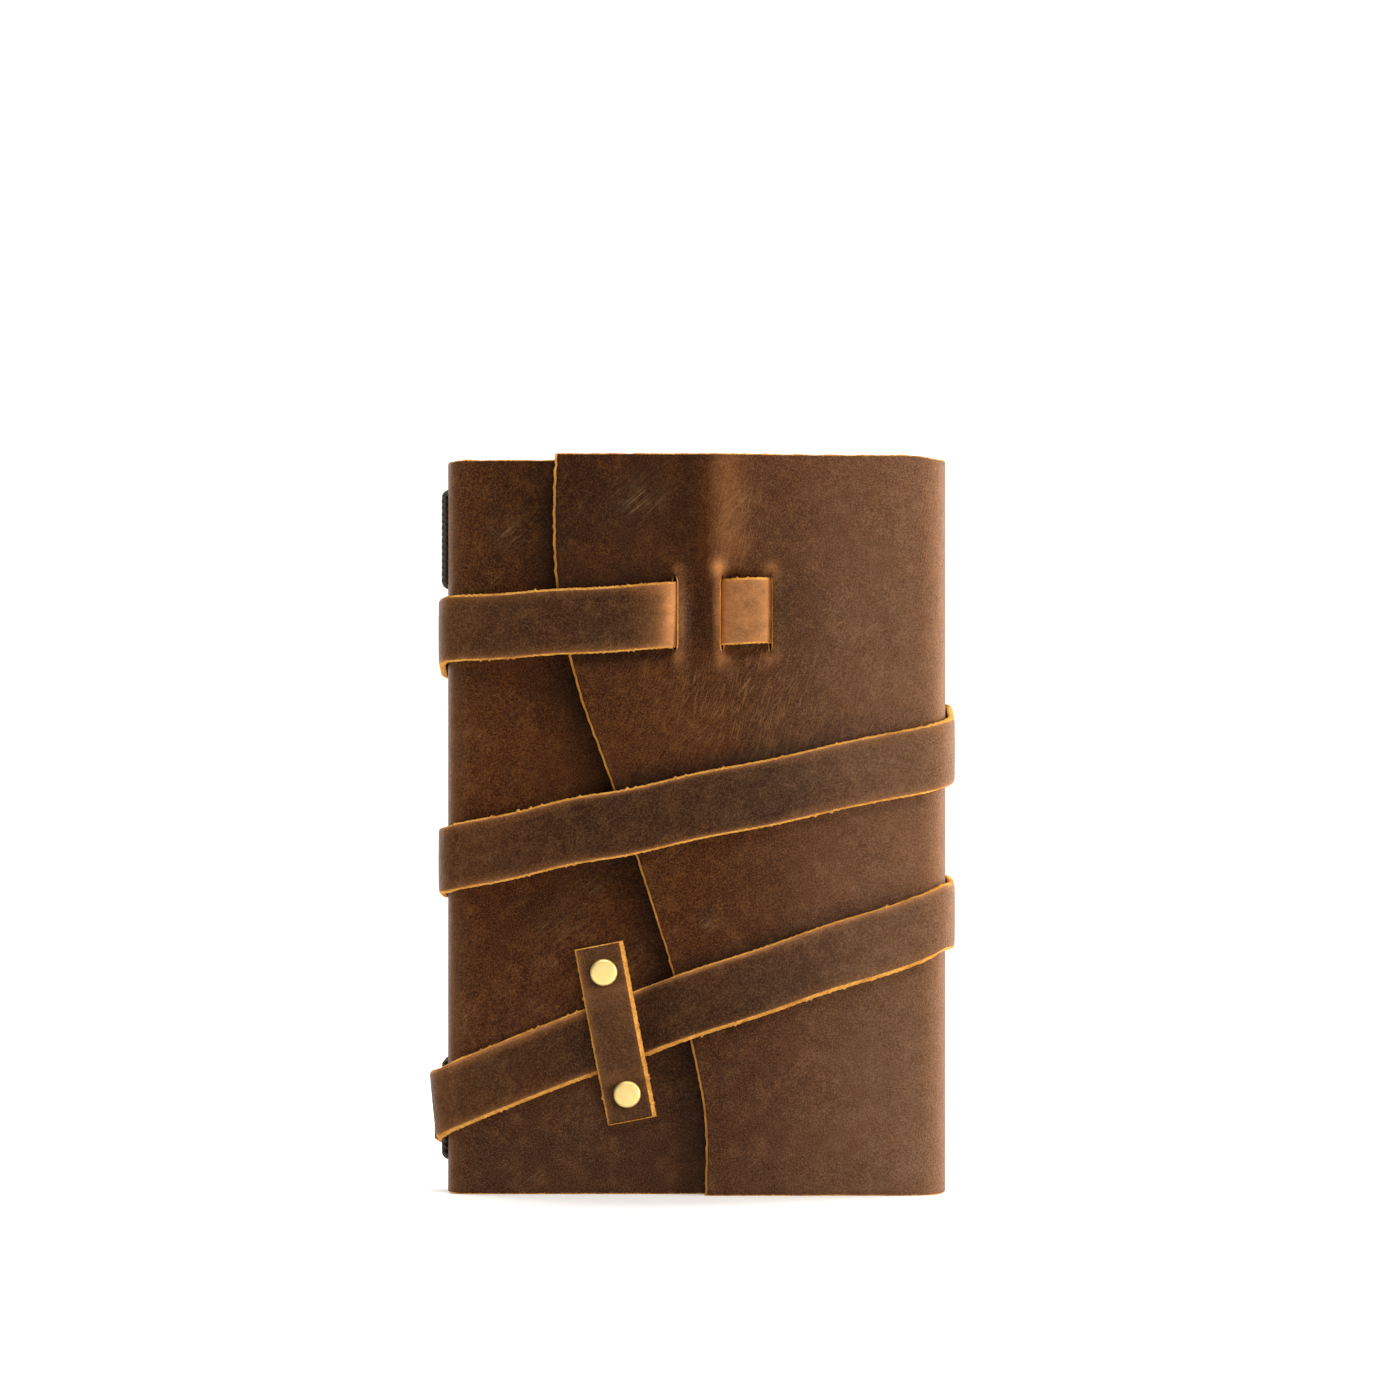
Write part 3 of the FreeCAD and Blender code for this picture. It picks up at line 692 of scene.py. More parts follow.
def back_piece():
    outline = joined(
        line((X_SPINE, SEAM_Y), (X_SPINE, BACK_SPINE_Y), 1.4, (-1, 0)),
        arc(SPINE_CENTRE_X, BACK_SPINE_Y, SPINE_RADIUS, 180, 90),
        line((SPINE_CENTRE_X, Y_BACK), (FORE_CENTRE_X, Y_BACK), 1.8, (0, 1)),
        arc(FORE_CENTRE_X, FORE_BACK_Y, FORE_RADIUS, 90, 0, 4),
        line((X_FORE, FORE_BACK_Y), (X_FORE, 0), 1.0, (1, 0)),
    )
    outer, inner, edge = cover_grids(outline, back_swell, False)
    tear_rows(outer, inner, 31, True)
    x = outer[:, :, 0]
    fields = {
        "rub_light_and_shade": 0.21 * hump(x, X_SPINE, 2.4) + SEAM_RUB * hump(x, X_FORE, 3),
        "bloom_and_sheen": np.full_like(x, HIDE_BLOOM),
        "crease": 0.17 * hump(x, X_SPINE, 4) + 0.20 * hump(x, X_FORE - 3, 5),
        "scuff": np.zeros_like(x),
    }
    piece = slab("cover_back", outer, inner, edge, fields)
    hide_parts("back_cover", "spine_panel")
    return piece


# The flap's free edge: X at each height
EDGE_Z = np.array([0, 22, 44, 84, 116, 148, 175, 195, 213.0])
EDGE_X = np.array([2.9, 2.8, -1.2, -12.6, -23.2, -34.4, -39.9, -40.7, -40.2])


def hermite(x, xs, ys):
    """A smooth curve through the points xs, ys."""
    slopes = np.gradient(ys, xs)
    k = np.clip(np.searchsorted(xs, x) - 1, 0, len(xs) - 2)
    h = xs[k + 1] - xs[k]
    t = np.clip((x - xs[k]) / h, 0, 1)
    return (
        (2 * t**3 - 3 * t**2 + 1) * ys[k]
        + (t**3 - 2 * t**2 + t) * h * slopes[k]
        + (3 * t**2 - 2 * t**3) * ys[k + 1]
        + (t**3 - t**2) * h * slopes[k + 1]
    )


# Middle lines of the runs of strap on the flap: x and z at each end
TOP_RUN = (-73.3, 162.5, -6.2, 166.6)
MIDDLE_RUN = (-73.3, 96.3, 73.4, 126.8)
LOWER_RUN = (-8, 52.6, 73.4, 79.6)


def above_run(x, z, run):
    """How far a place lies above a run's middle line."""
    x0, z0, x1, z1 = run
    return z - (z0 + (z1 - z0) * (x - x0) / (x1 - x0))


def pressed(x, z, run, half, soft):
    """0 beneath a run of strap, rising to 1 away from it."""
    away = np.maximum(np.abs(above_run(x, z, run)) - half, 0)
    return 1 - hump(away, 0, soft)


def flap_swell(x, z):
    """How far the flap stands out: it swells between the runs, and over the strap that passes beneath."""
    puff = pressed(x, z, MIDDLE_RUN, 9.6, 5.5) * pressed(x, z, LOWER_RUN, 10.0, 5.5)
    beside_top = pressed(x, z, TOP_RUN, 9.4, 5.0)
    puff = puff * (beside_top + (1 - beside_top) * smooth((x + 9) / 3))
    crest = 5.2 + 0.13 * np.maximum(z - 178, 0)
    spread = 0.14 * np.maximum(z - 178, 0) + 0.12 * np.maximum(156 - z, 0)
    wide = np.where(x < crest, 4.8 + spread, 7.5 + spread)
    rise = np.where(z > 172, 1 - 0.30 * smooth((z - 172) / 40), hump(z, 172, 16))
    ridge = 3.3 * hump(x, crest, wide) * rise
    valley = 0.9 * hump(x, crest - 13, 6) * smooth((z - 150) / 25)
    window = smooth((x - 6.7) / 0.8) * smooth((21.9 - x) / 0.8)
    window = window * smooth((z - 153.5) / 3.5) * smooth((180.5 - z) / 3.5)
    over_end = 0.9 * hump(x, 33, 9) * hump(z, 169, 11)
    uneven = 0.35 * waves(13, np.column_stack([np.ravel(x), np.ravel(z)]), 60, 2).reshape(np.shape(x))
    swell = 1.6 * puff + ridge - valley + over_end + uneven * puff
    return (swell * (1 - 0.92 * window) + 0.2 * window) * smooth((70 - x) / 14)


def flap_edge_columns(z):
    """Column positions across the flap at a height, from the free edge to the fore-edge corner."""
    free = float(hermite(np.array(z), EDGE_Z, EDGE_X))
    anchor = -12 + 30 * float(smooth((150 - z) / 150))
    left = free + (anchor - free) * FLAP_LEFT
    stretch = (FORE_CENTRE_X - anchor) / (FORE_CENTRE_X + 12)
    return np.concatenate([left, anchor + (np.array(FLAP_RIGHT) + 12) * stretch])


def spaced(stops, step):
    values = [stops[0]]
    for a, b in zip(stops, stops[1:]):
        count = max(1, int(round((b - a) / step)))
        values += [a + (b - a) * k / count for k in range(1, count + 1)]
    return values


LIP = 0.45  # columns of points stand this far to each side of a slit
FLAP_LEFT = np.array([0.0, 0.010, 0.022, 0.04] + list(np.linspace(0.07, 1, 20))[:-1])
SLIT_STOPS = [[x - LIP, x, x + LIP] for x in SLIT_X]
FLAP_RIGHT = spaced(
    [-12, -8.2, *SLIT_STOPS[0], -4.2, 5.4, *SLIT_STOPS[1], 9.4, 19.2, *SLIT_STOPS[2], 23.2, 63.7], 1.1
)
# For each slit, how far it gapes and how far its left and right lips stand out
SLIT_LIPS = ((1.5, -1.0, 1.0), (0.8, 0.9, -0.3), (0.8, -0.5, 0.9))
LIP_SHARES = ((1, 0.8), (2, 0.35), (3, 0.15))  # how much the columns beside a slit follow its lips

# Spots on the flap: amount, x, reach along X, z, reach along Z
# above 0 burnish; the spot below 0 is painted shade on the tongue's left slope
FLAP_RUBS_AND_SHADES = (
    (0.30, -4.4, 1.6, 167, 10), (0.45, 6.6, 1.5, 167, 10), (-0.30, 0.2, 2.6, 167, 10),
    (0.80, 6.2, 2.1, 180.2, 2.6), (0.35, 21.5, 2.2, 179.5, 2.6), (0.30, -6.0, 2.2, 180, 2.6),
    (0.30, -6.0, 2.2, 154.5, 2.6), (0.28, 7.8, 2.2, 154, 2.8), (0.28, 21.5, 2.0, 154.5, 2.4),
    (0.22, X_FORE - 1, 4),
)
FLAP_CREASES = (
    (1, 14, 26, 144, 15), (0.9, 12, 9, 194, 16), (0.5, 56, 18, 150, 32), (0.3, X_FORE - 3, 6),
)
FLAP_SCUFFS = (
    (1, -17, 6, 200, 5.5), (0.8, 13, 3.5, 199, 3), (0.8, 37, 4, 93, 2),
    (0.6, 4, 3, 78, 2), (0.6, 44, 6, 166, 8),
)


def shade(past, reach):
    """Painted shade beside a run of strap: full at its edge, fading over the reach past it."""
    return hump(np.maximum(past, 0), 0, reach) * (past > -4)


def flap_rub_light_and_shade(x, z):
    # burnish at the slits and the fore-edge, and painted light growing towards the right
    rub_light_and_shade = spots(x, z, FLAP_RUBS_AND_SHADES) + 0.14 * smooth((x - 15) / 50)
    # painted light on the ridge's right slope above the slits
    rub_light_and_shade = rub_light_and_shade + 0.20 * hump(x, 9, 5) * smooth((z - 180) / 8)
    # painted shade on the ridge's left slope above the slits
    rub_light_and_shade = rub_light_and_shade - 0.35 * hump(x, -2.5, 3.2) * smooth((z - 181) / 4)
    before_fore_edge, left_of_slit = smooth((66 - x) / 30), smooth((-4 - x) / 8)
    # painted shade beside the runs of strap
    rub_light_and_shade = rub_light_and_shade - 0.75 * shade(above_run(x, z, MIDDLE_RUN) - 9.8, 4.5) * before_fore_edge
    rub_light_and_shade = rub_light_and_shade - 0.55 * shade(above_run(x, z, LOWER_RUN) - 10.2, 3.5) * before_fore_edge
    above_top = above_run(x, z, TOP_RUN)
    rub_light_and_shade = rub_light_and_shade - (0.75 * shade(above_top - 9.6, 6) + 0.65 * shade(-above_top - 9.6, 4)) * left_of_slit
    # darker towards the flap's top left
    rub_light_and_shade = rub_light_and_shade - 0.45 * smooth((-2 - x) / 16) * smooth((z - 176) / 14)
    # painted shade in the valley left of slit A
    return rub_light_and_shade - 0.30 * hump(x, -8, 6) * smooth((z - 178) / 12)


def part_slits(outer, inner, edge, rows):
    """Draws the lips of the slits apart, and gives the offsets of each cut's two sides."""
    split = {}
    for slit_x, (gap, left_push, right_push) in zip(SLIT_X, SLIT_LIPS):
        i = int(np.argmin(np.abs(outer[:, len(rows) * 3 // 4, 0] - slit_x)))
        for j, z in enumerate(rows * FLAP_HEIGHT):
            if not SLIT_LOW + 0.2 < z < SLIT_HIGH - 0.2:
                continue
            part = float(smooth((z - SLIT_LOW) / 1.8) * smooth((SLIT_HIGH - z) / 1.8))
            sides = ((-1, left_push), (1, right_push))
            split[i, j] = [np.array([side * gap / 2, -push, 0]) * part for side, push in sides[::-1]]
            for side, push in sides:
                for away, share in LIP_SHARES:
                    k = i - side * away
                    for grid in (outer, inner):
                        grid[k, j, 1] -= push * part * share
                        grid[k, j, 0] += side * gap / 2 * part * share
                    if away == 1:
                        edge[k, j] = 0.30
    return split


def flap_piece():
    bend_points, bend_normals = joined(
        line((X_FORE, 0), (X_FORE, FORE_FRONT_Y), 1.0, (1, 0)),
        arc(FORE_CENTRE_X, FORE_FRONT_Y, FORE_RADIUS, 0, -90, 4),
    )
    rows = height_rows(1.25, (SLIT_LOW / FLAP_HEIGHT, SLIT_HIGH / FLAP_HEIGHT))
    count, bends = len(rows), len(bend_points)
    columns = bends + len(FLAP_LEFT) + len(FLAP_RIGHT) - 1
    flat = np.ones((columns - bends, 1))
    normals = np.concatenate([bend_normals, flat * (0, -1)])
    bevel = np.zeros(count)
    bevel[[0, -1]], bevel[[1, -2]] = RIM_BEVELS
    outer, inner = np.zeros((2, columns, count, 3))
    for j, height in enumerate(rows):
        x = flap_edge_columns(height * FLAP_HEIGHT)[-2::-1]
        points = np.concatenate([bend_points, np.column_stack([x, flat * Y_FLAP])])
        px, py = points.T
        low = 0.35 * hump(px, X_FORE, 2.2)
        high = FLAP_HEIGHT - 1.2 * smooth((px - 60) / 11.7) - 0.5 * smooth((px + 10) / 60)
        push = flap_swell(px, low + (high - low) * height)
        push = push * np.where(np.arange(columns) < bends, hump(py, Y_FLAP, 2.0), 1.0)
        outer[:, j, :2] = points + normals * (push - bevel[j])[:, None]
        inner[:, j, :2] = points + normals * (push - LEATHER)[:, None]
        outer[:, j, 2] = inner[:, j, 2] = low + (high - low) * height
    tear = ragged(41, count, 1.25, 4.5) * 0.10 + np.random.default_rng(5).normal(size=count) * 0.07
    outer[-1, :, 0] += 0.25 + tear
    outer[-1, :, 1] += 0.55
    outer[-2, :, 0] += 0.7 * tear
    outer[-2, :, 1] += 0.12
    inner[-1, :, 0] += -0.45 + tear * 1.3
    tear_rows(outer, inner, 43)
    edge = rim(columns, count, True)
    edge[-2, :] = np.maximum(edge[-2, :], 0.2)
    edge[-1, 1:-1] = 0.95 - 0.19 * smooth((rows[1:-1] * FLAP_HEIGHT - 50) / 90)
    split = part_slits(outer, inner, edge, rows)
    x, z = outer[:, :, 0], outer[:, :, 2]
    # painted sheen growing towards the right, paler towards the bottom, and a painted highlight just right
    # of slit A
    bloom_and_sheen = 0.45 * smooth((x + 5) / 80) + 0.14 * smooth((90 - z) / 90)
    bloom_and_sheen = bloom_and_sheen + spots(x, z, [(0.30, -3.2, 2.0, 167, 10)])
    crease = np.clip(spots(x, z, FLAP_CREASES), 0, 1)
    from_seam = smooth(-outer[:, :, 1] / 12)
    fields = {
        "rub_light_and_shade": np.clip(SEAM_RUB + (flap_rub_light_and_shade(x, z) - SEAM_RUB) * from_seam, DEEPEST_PAINTED_SHADE, 1),
        "bloom_and_sheen": HIDE_BLOOM + (bloom_and_sheen - HIDE_BLOOM) * from_seam,
        "crease": SEAM_CREASE + (crease - SEAM_CREASE) * from_seam,
        "scuff": np.clip(spots(x, z, FLAP_SCUFFS), 0, 1),
    }
    piece = slab("flap_leaf", outer, inner, edge, fields, split)
    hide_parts("flap", "fore_edge_panel")
    return piece


front = front_piece()
back = back_piece()
flap = flap_piece()


# The strap


STRAP_ROUTE = [
    # x, y, z, corner radius, sampling step
    (47.0, Y_UNDER, 169.8, 0, 1.2),
    (24.0, Y_UNDER, 168.4, 3.0, 0.6),
    (17.6, Y_OVER - 1.9, 168.1, 5.0, 0.4),
    (10.2, Y_OVER - 2.2, 167.6, 5.0, 0.4),
    (4.6, Y_UNDER, 167.3, 3.0, 0.6),
    (-3.6, Y_UNDER, 166.8, 1.6, 0.6),
    (-7.4, Y_OVER, 166.5, 1.9, 0.3),
    (-42.0, Y_OVER, 164.4, 60, 0.5),
    (-62.0, -12.31, 163.2, 0, 0.5),
    (-73.3, -11.0, 162.5, 6.0, 0.6),
    (-73.3, Y_BEHIND, 157.5, 6.0, 1.2),
    (73.4, Y_BEHIND, 131.8, 9.0, 1.2),
    (73.4, Y_OVER, 126.8, 9.0, 1.0),
    (60.0, Y_OVER, 124.0, 0, 0.6),
    (-26.0, Y_OVER, 106.1, 60, 0.5),
    (-62.0, -11.93, 98.65, 0, 0.5),
    (-73.3, -11.0, 96.3, 6.0, 0.6),
    (-73.3, Y_BEHIND, 93.9, 6.0, 1.2),
    (73.4, Y_BEHIND, 82.0, 9.0, 1.2),
    (73.4, Y_OVER, 79.6, 9.0, 1.0),
    (60.0, Y_OVER, 75.15, 0, 0.6),
    (-7.0, Y_OVER, 52.9, 9.0, 0.5),
    (-14.5, Y_UNDER, 50.0, 7.0, 0.5),
    (-62.0, Y_UNDER, 31.7, 0, 0.5),
    (-75.1, Y_UNDER, 26.6, 6.0, 0.6),
    (-75.1, Y_BEHIND, 22.5, 6.0, 1.2),
    (20.0, Y_BEHIND, 18.0, 0, 1.2),
]
JOINS = (0, 7, 13, 14, 20, 21, 26)  # points of the route where the runs of strap meet
RUNS = ("woven_end", "back_upper", "front_middle", "back_middle", "front_lower", "tail")
TAIL_TAPER, TAIL_TIP = 12, 0.45  # length of the tail's tapered end, and its width at the tip as a share


def strap_bevels(x, y, z):
    """Top and bottom bevels of the strap's cut at a place."""
    if y >= -8:
        return 0.5, 0.6
    if z > 145:
        return 0.60, 0.45
    if z > 90 + (x + 73) * 0.2 - 6:
        return 0.50, 0.55
    return 0.40, 1.05


def strap_wear(x, y, across, woven):
    """Wear of the strap: more at its edges and turns, and most where the woven run passes the slits; on the
    front runs also painted light and sheen growing towards the right.
    """
    fronted = smooth((10 - y) / 20)
    worn, dulled = (0.0, 0.02) if woven else (0.055, 0.14)
    # on the front runs: painted light growing towards the right, and darker around the middle
    rub_light_and_shade = worn + 0.14 * smooth((x - 20) / 60) * fronted - dulled * hump(x, -5, 42) * fronted
    rub_light_and_shade = rub_light_and_shade + 0.14 * hump(x, X_SPINE - 1, 3) + 0.14 * hump(x, X_FORE + 1, 4)
    crease = 0.35 * hump(np.abs(x), 72, 5)
    if woven:
        rub_light_and_shade = rub_light_and_shade + 1.0 * hump(x, -6.4, 3.0) + 0.25 * hump(x, -8, 8)
        rub_light_and_shade = rub_light_and_shade + 0.62 * (x > 5) * hump(x, 13.8, 9.5)
        rub_light_and_shade = rub_light_and_shade + 0.45 * hump(x, 8.8, 1.8) + 0.45 * hump(x, 20.0, 1.6)
        crease = crease + 0.3 * hump(x, 14, 6)
    rub_light_and_shade = rub_light_and_shade + 0.16 * smooth((np.abs(across) - 6.6) / 2.4) + 0.55 * smooth((np.abs(across) - 8.3) / 1.2)
    # painted sheen growing towards the right on the front runs
    bloom_and_sheen = 0.04 + 0.42 * smooth((x + 5) / 80) * fronted
    return {"rub_light_and_shade": np.clip(rub_light_and_shade, DEEPEST_PAINTED_SHADE, 1), "bloom_and_sheen": bloom_and_sheen, "crease": np.clip(crease, 0, 1)}


def build_strap():
    points = [p[:3] for p in STRAP_ROUTE]
    radii = [p[3] for p in STRAP_ROUTE[1:-1]]
    steps = [p[4] for p in STRAP_ROUTE]
    centre, heads, marks = rounded_route(points, radii, steps)
    out = np.column_stack([-heads[:, 1], heads[:, 0], np.zeros(len(heads))])
    total = np.concatenate([[0], np.cumsum(np.linalg.norm(np.diff(centre, axis=0), axis=1))])
    slope = np.abs(np.gradient(centre[:, 2], total))
    slope = np.convolve(np.pad(slope, 10, mode="edge"), np.ones(21) / 21, mode="valid")
    # slight waver of a hand-wound strap, and its lean where the lowest turn passes over the cords
    centre[:, 2] += 0.35 * waves(51, total[:, None], 60, 2)
    lean = 0.10 * hump(centre[:, 0], -75, 6) * (centre[:, 2] < 40) * (centre[:, 1] < 8)
    up = np.column_stack([out[:, 0] * lean, out[:, 1] * lean, np.ones(len(lean))])
    pieces = []
    for number, run in enumerate(RUNS):
        a, b = marks[JOINS[number]], marks[JOINS[number + 1]]
        cut = slice(a, b + 1)
        c = centre[cut]
        # the section is upright, so it's higher where the strap climbs
        sections = [
            strip_section(STRAP_WIDTH / 2 * math.hypot(1, climb), STRAP_THICKNESS, *strap_bevels(*place))
            for place, climb in zip(c, slope[cut])
        ]
        last = run == "tail"
        start = total[a]
        along_here = total[cut] - start
        tapered = np.clip(TAIL_TIP + (1 - TAIL_TIP) * (total[b] - total[cut]) / TAIL_TAPER, 0, 1)

        def layers(along, across, c=c, along_here=along_here, run=run):
            x, y = (np.interp(along, along_here, c[:, k]) for k in (0, 1))
            return strap_wear(x, y, across, run == "woven_end")

        ends = (2.5 if number == 1 else 0.0, None if last else 0.0)
        path, taper = (c, out[cut], up[cut]), tapered if last else None
        piece = strip(f"strap_{run}_leather", path, sections, 60, 0.11, layers, taper, start, ends)
        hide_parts("strap_" + run)
        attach(piece, "flap")
        pieces.append(piece)
    for number in (1, 2, 3, 4, 5):
        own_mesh(pieces[number])


build_strap()


# The keeper and its rivets


def along_keeper(distance):
    return np.array(
        [KEEPER_X - distance * math.sin(KEEPER_TILT), 0, KEEPER_Z + distance * math.cos(KEEPER_TILT)]
    )


def build_keeper():
    end = KEEPER_LENGTH / 2
    flat_y, bridge_y = -10.0, -12.55
    half_route = [(end, flat_y, 0), (14.6, flat_y, 0), (10.4, bridge_y, 0)]
    route = [(-d, y, z) for d, y, z in half_route] + half_route[::-1]
    local, heads, _ = rounded_route(route, [3.0] * 4, [0.5] * 6)
    direction = np.array([-math.sin(KEEPER_TILT), 0, math.cos(KEEPER_TILT)])
    across = np.array([math.cos(KEEPER_TILT), 0, math.sin(KEEPER_TILT)])
    centre = np.array([along_keeper(d) + np.array([0, y, 0]) for d, y, _ in local])
    out = np.outer(heads[:, 1], direction) - np.outer(heads[:, 0], np.array([0, 1, 0]))
    up = np.tile(across, (len(centre), 1))
    sections = []
    for d, _, _ in local:
        s = strip_section(KEEPER_WIDTH / 2, LEATHER, 1.15, 0.4)
        close = end - abs(d)
        if close < 0.3:
            s[:, 2] = 1.0
        # the grain side drops at the cut ends and under the rivet caps
        drops = [0.22 * hump(np.hypot(d - rivet, s[:, 0]), 0, 5.2) for rivet in (RIVET_REACH, -RIVET_REACH)]
        for drop in (0.5 * (1 - smooth(close / 0.9)), *drops):
            s[:, 1] = np.where(s[:, 1] > 0.3, s[:, 1] - drop, s[:, 1])
        sections.append(s)

    def layers(along, place):
        rub_light_and_shade = 0.04 + 0.16 * smooth((np.abs(place) - 4.8) / 1.6) + 0.4 * smooth((np.abs(place) - 6.1) / 0.9)
        rub_light_and_shade = np.clip(rub_light_and_shade + 0.12 * hump(np.abs(along - 26), 12, 2.5), 0, 1)
        return {"rub_light_and_shade": rub_light_and_shade, "bloom_and_sheen": np.full_like(rub_light_and_shade, 0.1), "crease": np.full_like(rub_light_and_shade, 0.15)}

    piece = strip("keeper_leather", (centre, out, up), sections, 95, 0.10, layers)
    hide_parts("keeper_loop")
    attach(piece, "front_cover")


def turned_part(name, place, profile, node):
    """A round part about a line along Y through place; the profile is (radius, y)."""
    around = 64
    verts, faces = [], []
    for radius, y in profile:
        for k in range(around):
            a = 2 * math.pi * k / around
            verts.append((place[0] + radius * math.cos(a), y, place[2] + radius * math.sin(a)))
    faces = outward(np.array(verts), ring_faces(len(profile), around))
    piece = make_piece(name, verts, faces, {}, BRASS, 60)
    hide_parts(node)
    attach(piece, "front_cover")


# A rivet's cap: radius, and distance in front of the keeper's grain side
CAP_PROFILE = (
    (3.2, -0.35), (3.72, -0.2), (3.9, 0.15), (3.9, 0.5), (3.8, 0.82),
    (3.58, 1.10), (3.28, 1.24), (2.8, 1.30), (1.6, 1.33), (0.5, 1.34),
)


def build_rivets():
    for name, reach in (("upper", RIVET_REACH), ("lower", -RIVET_REACH)):
        cap = [(radius, Y_RIVET_SEAT - front) for radius, front in CAP_PROFILE]
        turned_part(f"rivet_cap_{name}_brass", along_keeper(reach), cap, "rivet_cap_" + name)


build_keeper()
build_rivets()


# The pages


def paper_piece(name, sheets, node):
    """Sheets of paper as thin closed bands, each given by its middle line, normals and thickness."""
    verts, faces, hide, edge = [], [], [], []
    for number, (points, normals, thick) in enumerate(sheets):
        rng = np.random.default_rng(700 + number + len(name))
        low = PAGE_FOOT + 0.25 * rng.random()
        high = PAGE_TOP - 0.35 * rng.random()
        levels = np.linspace(low, high, 5)
        half = normals * thick / 2
        loop = np.concatenate([points + half, (points - half)[::-1]])
        around = len(loop)
        own = np.array([(x, y, z) for z in levels for x, y in loop])
        own_faces = ring_faces(len(levels), around)[:-2]
        for i in range(around // 2 - 1):
            cap = (i, i + 1, around - 2 - i, around - 1 - i)
            own_faces += [cap[::-1], tuple(v + (len(levels) - 1) * around for v in cap)]
        faces += [tuple(v + len(verts) for v in face) for face in outward(own, own_faces)]
        verts += own.tolist()
        hide += [(x + number * 3.1, z, y) for x, y, z in own]
        edge += [float(z in (levels[0], levels[-1])) for z in own[:, 2]]
    data = {"hide": np.array(hide) * MM, "edge": np.array(edge)}
    piece = make_piece(name, verts, faces, data, PAPER, 40)
    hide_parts(node)
    return piece


def folded_sheets(front_y, back_y, fold_x, seed):
    """Nested folded sheets between two depths, open at the fore-edge."""
    rng = np.random.default_rng(seed)
    middle = (front_y + back_y) / 2
    half = (back_y - front_y) / 2 - 0.08
    count = max(3, int(half / 0.31))
    pitch = half / (count + 0.3)
    sheets = []
    for k in range(count):
        reach = half - pitch * (k + 0.5)
        end = PAGE_EDGE_X - 0.2 - 0.5 * rng.random() - 0.25 * (count - k) / count
        centre_x = fold_x + 0.2 + half
        bow = 0.03 * rng.normal(size=2)
        xs = np.linspace(end, centre_x, 14)
        sway = bow[0] * np.sin((xs - centre_x) / 126 * math.pi)
        front = np.column_stack([xs, np.full(14, middle - reach) + sway])
        a = np.radians(np.linspace(-90, -270, 9)[1:-1])
        fold = np.column_stack([centre_x + reach * np.cos(a), middle + reach * np.sin(a)])
        back_side = np.column_stack([xs[::-1], np.full(14, middle + reach) + sway[::-1]])
        points = np.concatenate([front, fold, back_side])
        tangent = np.gradient(points, axis=0)
        tangent /= np.linalg.norm(tangent, axis=1)[:, None]
        normals = np.column_stack([-tangent[:, 1], tangent[:, 0]])
        sheets.append((points, normals, pitch * 0.72))
    return sheets


def flat_leaves(front_y, back_y, start_x, seed):
    rng = np.random.default_rng(seed)
    count = 5
    pitch = (back_y - front_y) / count
    sheets = []
    for k in range(count):
        end = PAGE_EDGE_X - 0.3 - 0.6 * rng.random()
        bend_end = start_x + 26  # the leaves have close points where they bend
        xs = np.concatenate([np.linspace(start_x, bend_end, 40), np.linspace(bend_end, end, 14)[1:]])
        points = np.column_stack([xs, np.full(len(xs), front_y + pitch * (k + 0.5))])
        sheets.append((points, np.tile((0.0, 1.0), (len(xs), 1)), pitch * 0.7))
    return sheets


def build_pages():
    faces_y = (-4.0, -1.6, 2.7, 7.0, 11.3)  # the planes between the signatures
    for k in range(4):
        name = f"signature_{k + 1}"
        sheets = folded_sheets(faces_y[k], faces_y[k + 1], -68.0, 80 + k)
        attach(paper_piece(name + "_sheets", sheets, name), "root")
    sheets = flat_leaves(-5.9, -4.3, -66.3, 90)
    leaves = paper_piece("front_leaves_sheets", sheets, "first_signature_front_leaves")
    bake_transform(leaves)


build_pages()


# Pieces kept from the CAD


def dress(node, material):
    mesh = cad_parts[node].data
    mesh.materials.clear()
    mesh.materials.append(material)


for number in (1, 2, 3, 4):
    dress(f"binding_cord_{number}", CORD)
for name in ("upper", "lower"):
    dress("rivet_post_" + name, BRASS)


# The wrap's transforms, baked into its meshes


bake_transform(front)
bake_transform(back)
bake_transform(flap)


# Floor, light and camera


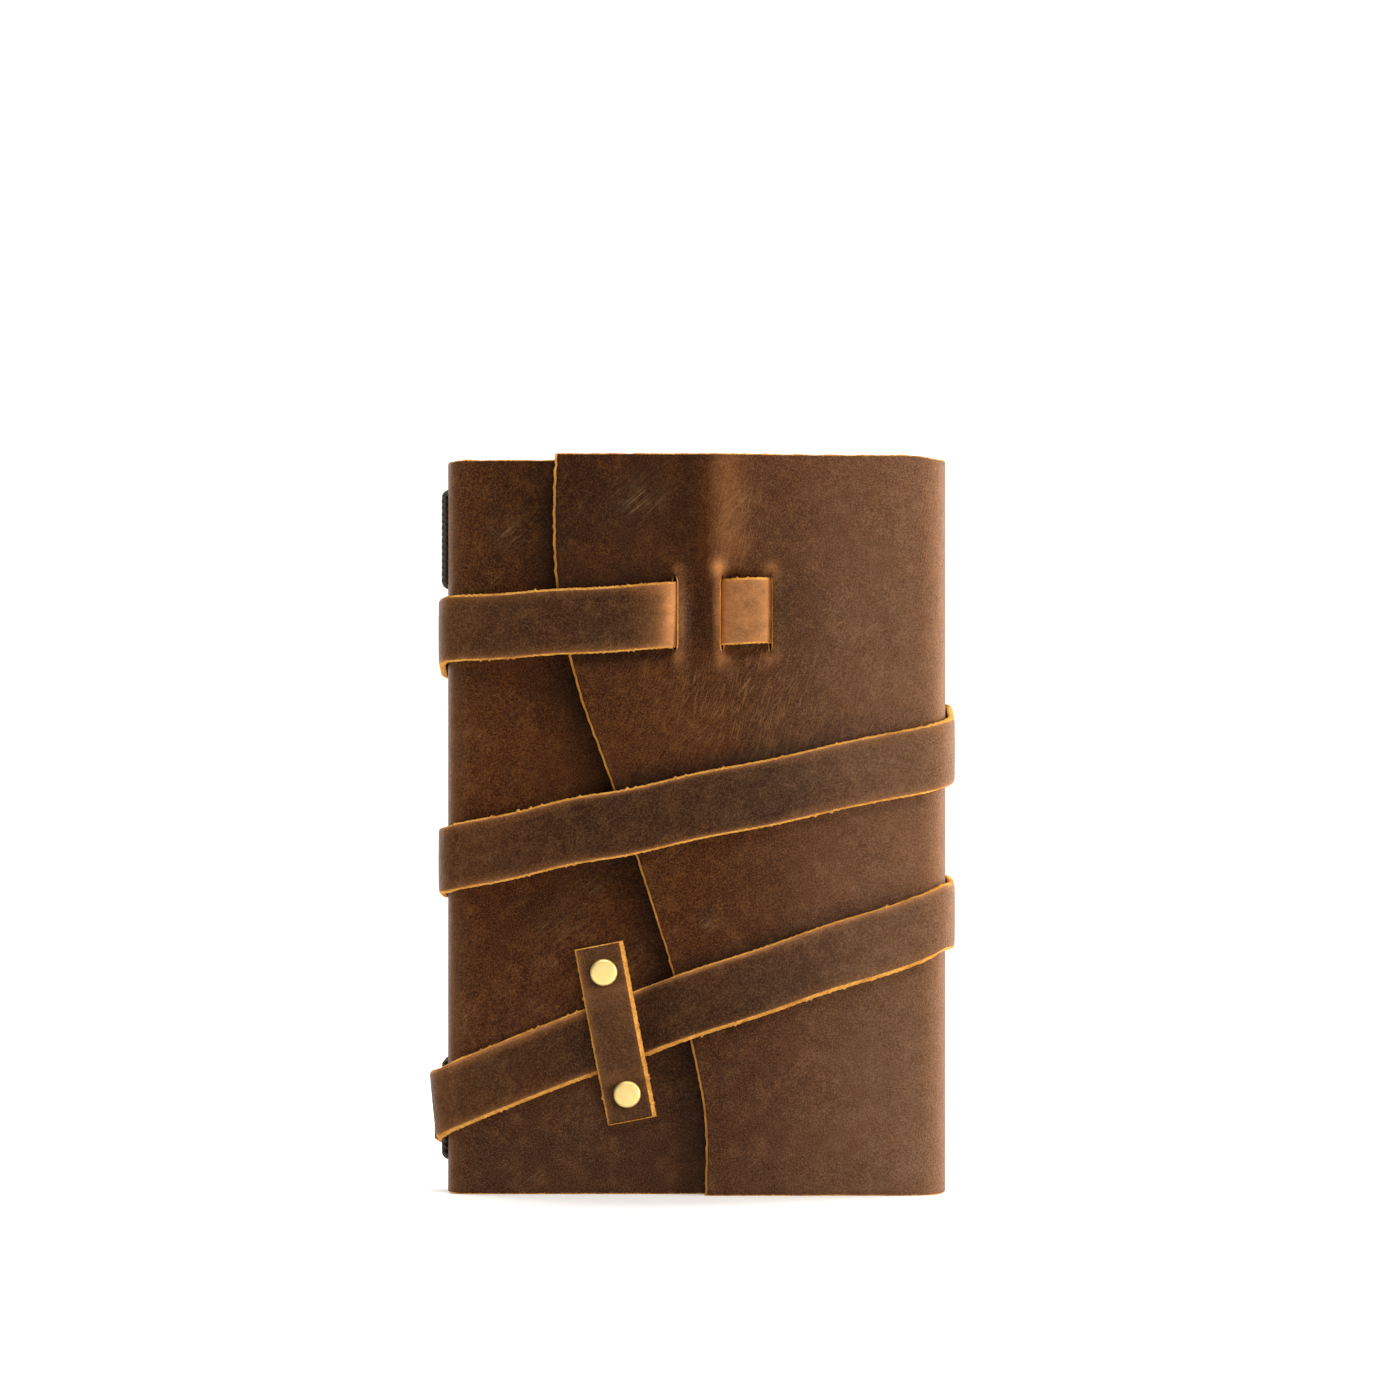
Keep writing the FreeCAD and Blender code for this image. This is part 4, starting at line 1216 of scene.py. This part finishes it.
def build_stage():
    """A pale floor that grows as bright as the backdrop behind and far from the object."""
    reach = 6.0
    corners = [(-reach, -reach, 0), (reach, -reach, 0), (reach, reach, 0), (-reach, reach, 0)]
    mesh = bpy.data.meshes.new("floor")
    mesh.from_pydata(corners, [], [(0, 1, 2, 3)])
    m = new_material("pale_floor")
    place = m.place()
    tone = m.mix(m.noise(place, 3, 2), (0.86, 0.86, 0.86), (0.88, 0.88, 0.88))
    depth = m.add("SeparateXYZ", Vector=place).outputs["Y"]
    away = m.add("VectorMath", operation="LENGTH", in_0=place).outputs["Value"]
    glow = m.larger(m.span(depth, -0.1, 0.5, 0.0, 0.75), m.span(away, 0.55, 1.5, 0.0, 0.62))
    m.finish(tone, 0.6, Specular_IOR_Level=0.2, Emission_Color=(1, 1, 1), Emission_Strength=glow)
    mesh.materials.append(m.owner)
    show("floor", mesh)


def area_light(name, place, target, width, height, power, colour):
    data = bpy.data.lights.new(name, "AREA")
    data.shape = "RECTANGLE"
    data.size, data.size_y = width, height
    data.energy, data.color = power, colour
    lamp = show(name, data)
    lamp.location = place
    lamp.rotation_euler = (Vector(target) - Vector(place)).to_track_quat("-Z", "Y").to_euler()


def build_light():
    """A white backdrop behind the object and at the horizon, a dim front, and four soft lamps."""
    m = Nodes(bpy.data.worlds.new("studio"), "Background")
    toward = m.add("SeparateXYZ", Vector=m.add("TexCoord").outputs["Generated"])
    behind = m.span(toward.outputs["Y"], -0.15, 0.35, 0.03, 1.3)
    horizon = m.span(toward.outputs["Z"], 0.10, 0.20, 1.05, 0.0)
    m.fill(m.shader, Strength=m.larger(behind, horizon), Color=(1, 1, 1))
    bpy.context.scene.world = m.owner
    warm = (1.0, 0.95, 0.88)
    area_light("right_softbox", (0.46, -0.22, 0.18), (0.03, 0, 0.11), 0.20, 0.36, 2.5, warm)
    area_light("overhead", (0.05, -0.42, 0.95), (0, 0, 0.1), 0.40, 0.26, 6.5, (1.0, 0.97, 0.93))
    area_light("right_rim", (0.5, 0.30, 0.2), (0.07, 0, 0.1), 0.3, 0.6, 6.0, warm)
    area_light("left_rim", (-0.5, 0.40, 0.2), (-0.07, 0, 0.1), 0.3, 0.6, 4.0, warm)


def build_camera():
    data = bpy.data.cameras.new("camera")
    data.lens = 160
    data.sensor_width = 36
    camera = show("camera", data)
    camera.location = (0.001, -1.7990, 0.1422)
    camera.rotation_euler = (math.radians(90), 0, 0)
    bpy.context.scene.camera = camera


build_stage()
build_light()
build_camera()
bpy.context.scene.view_settings.view_transform = "Standard"
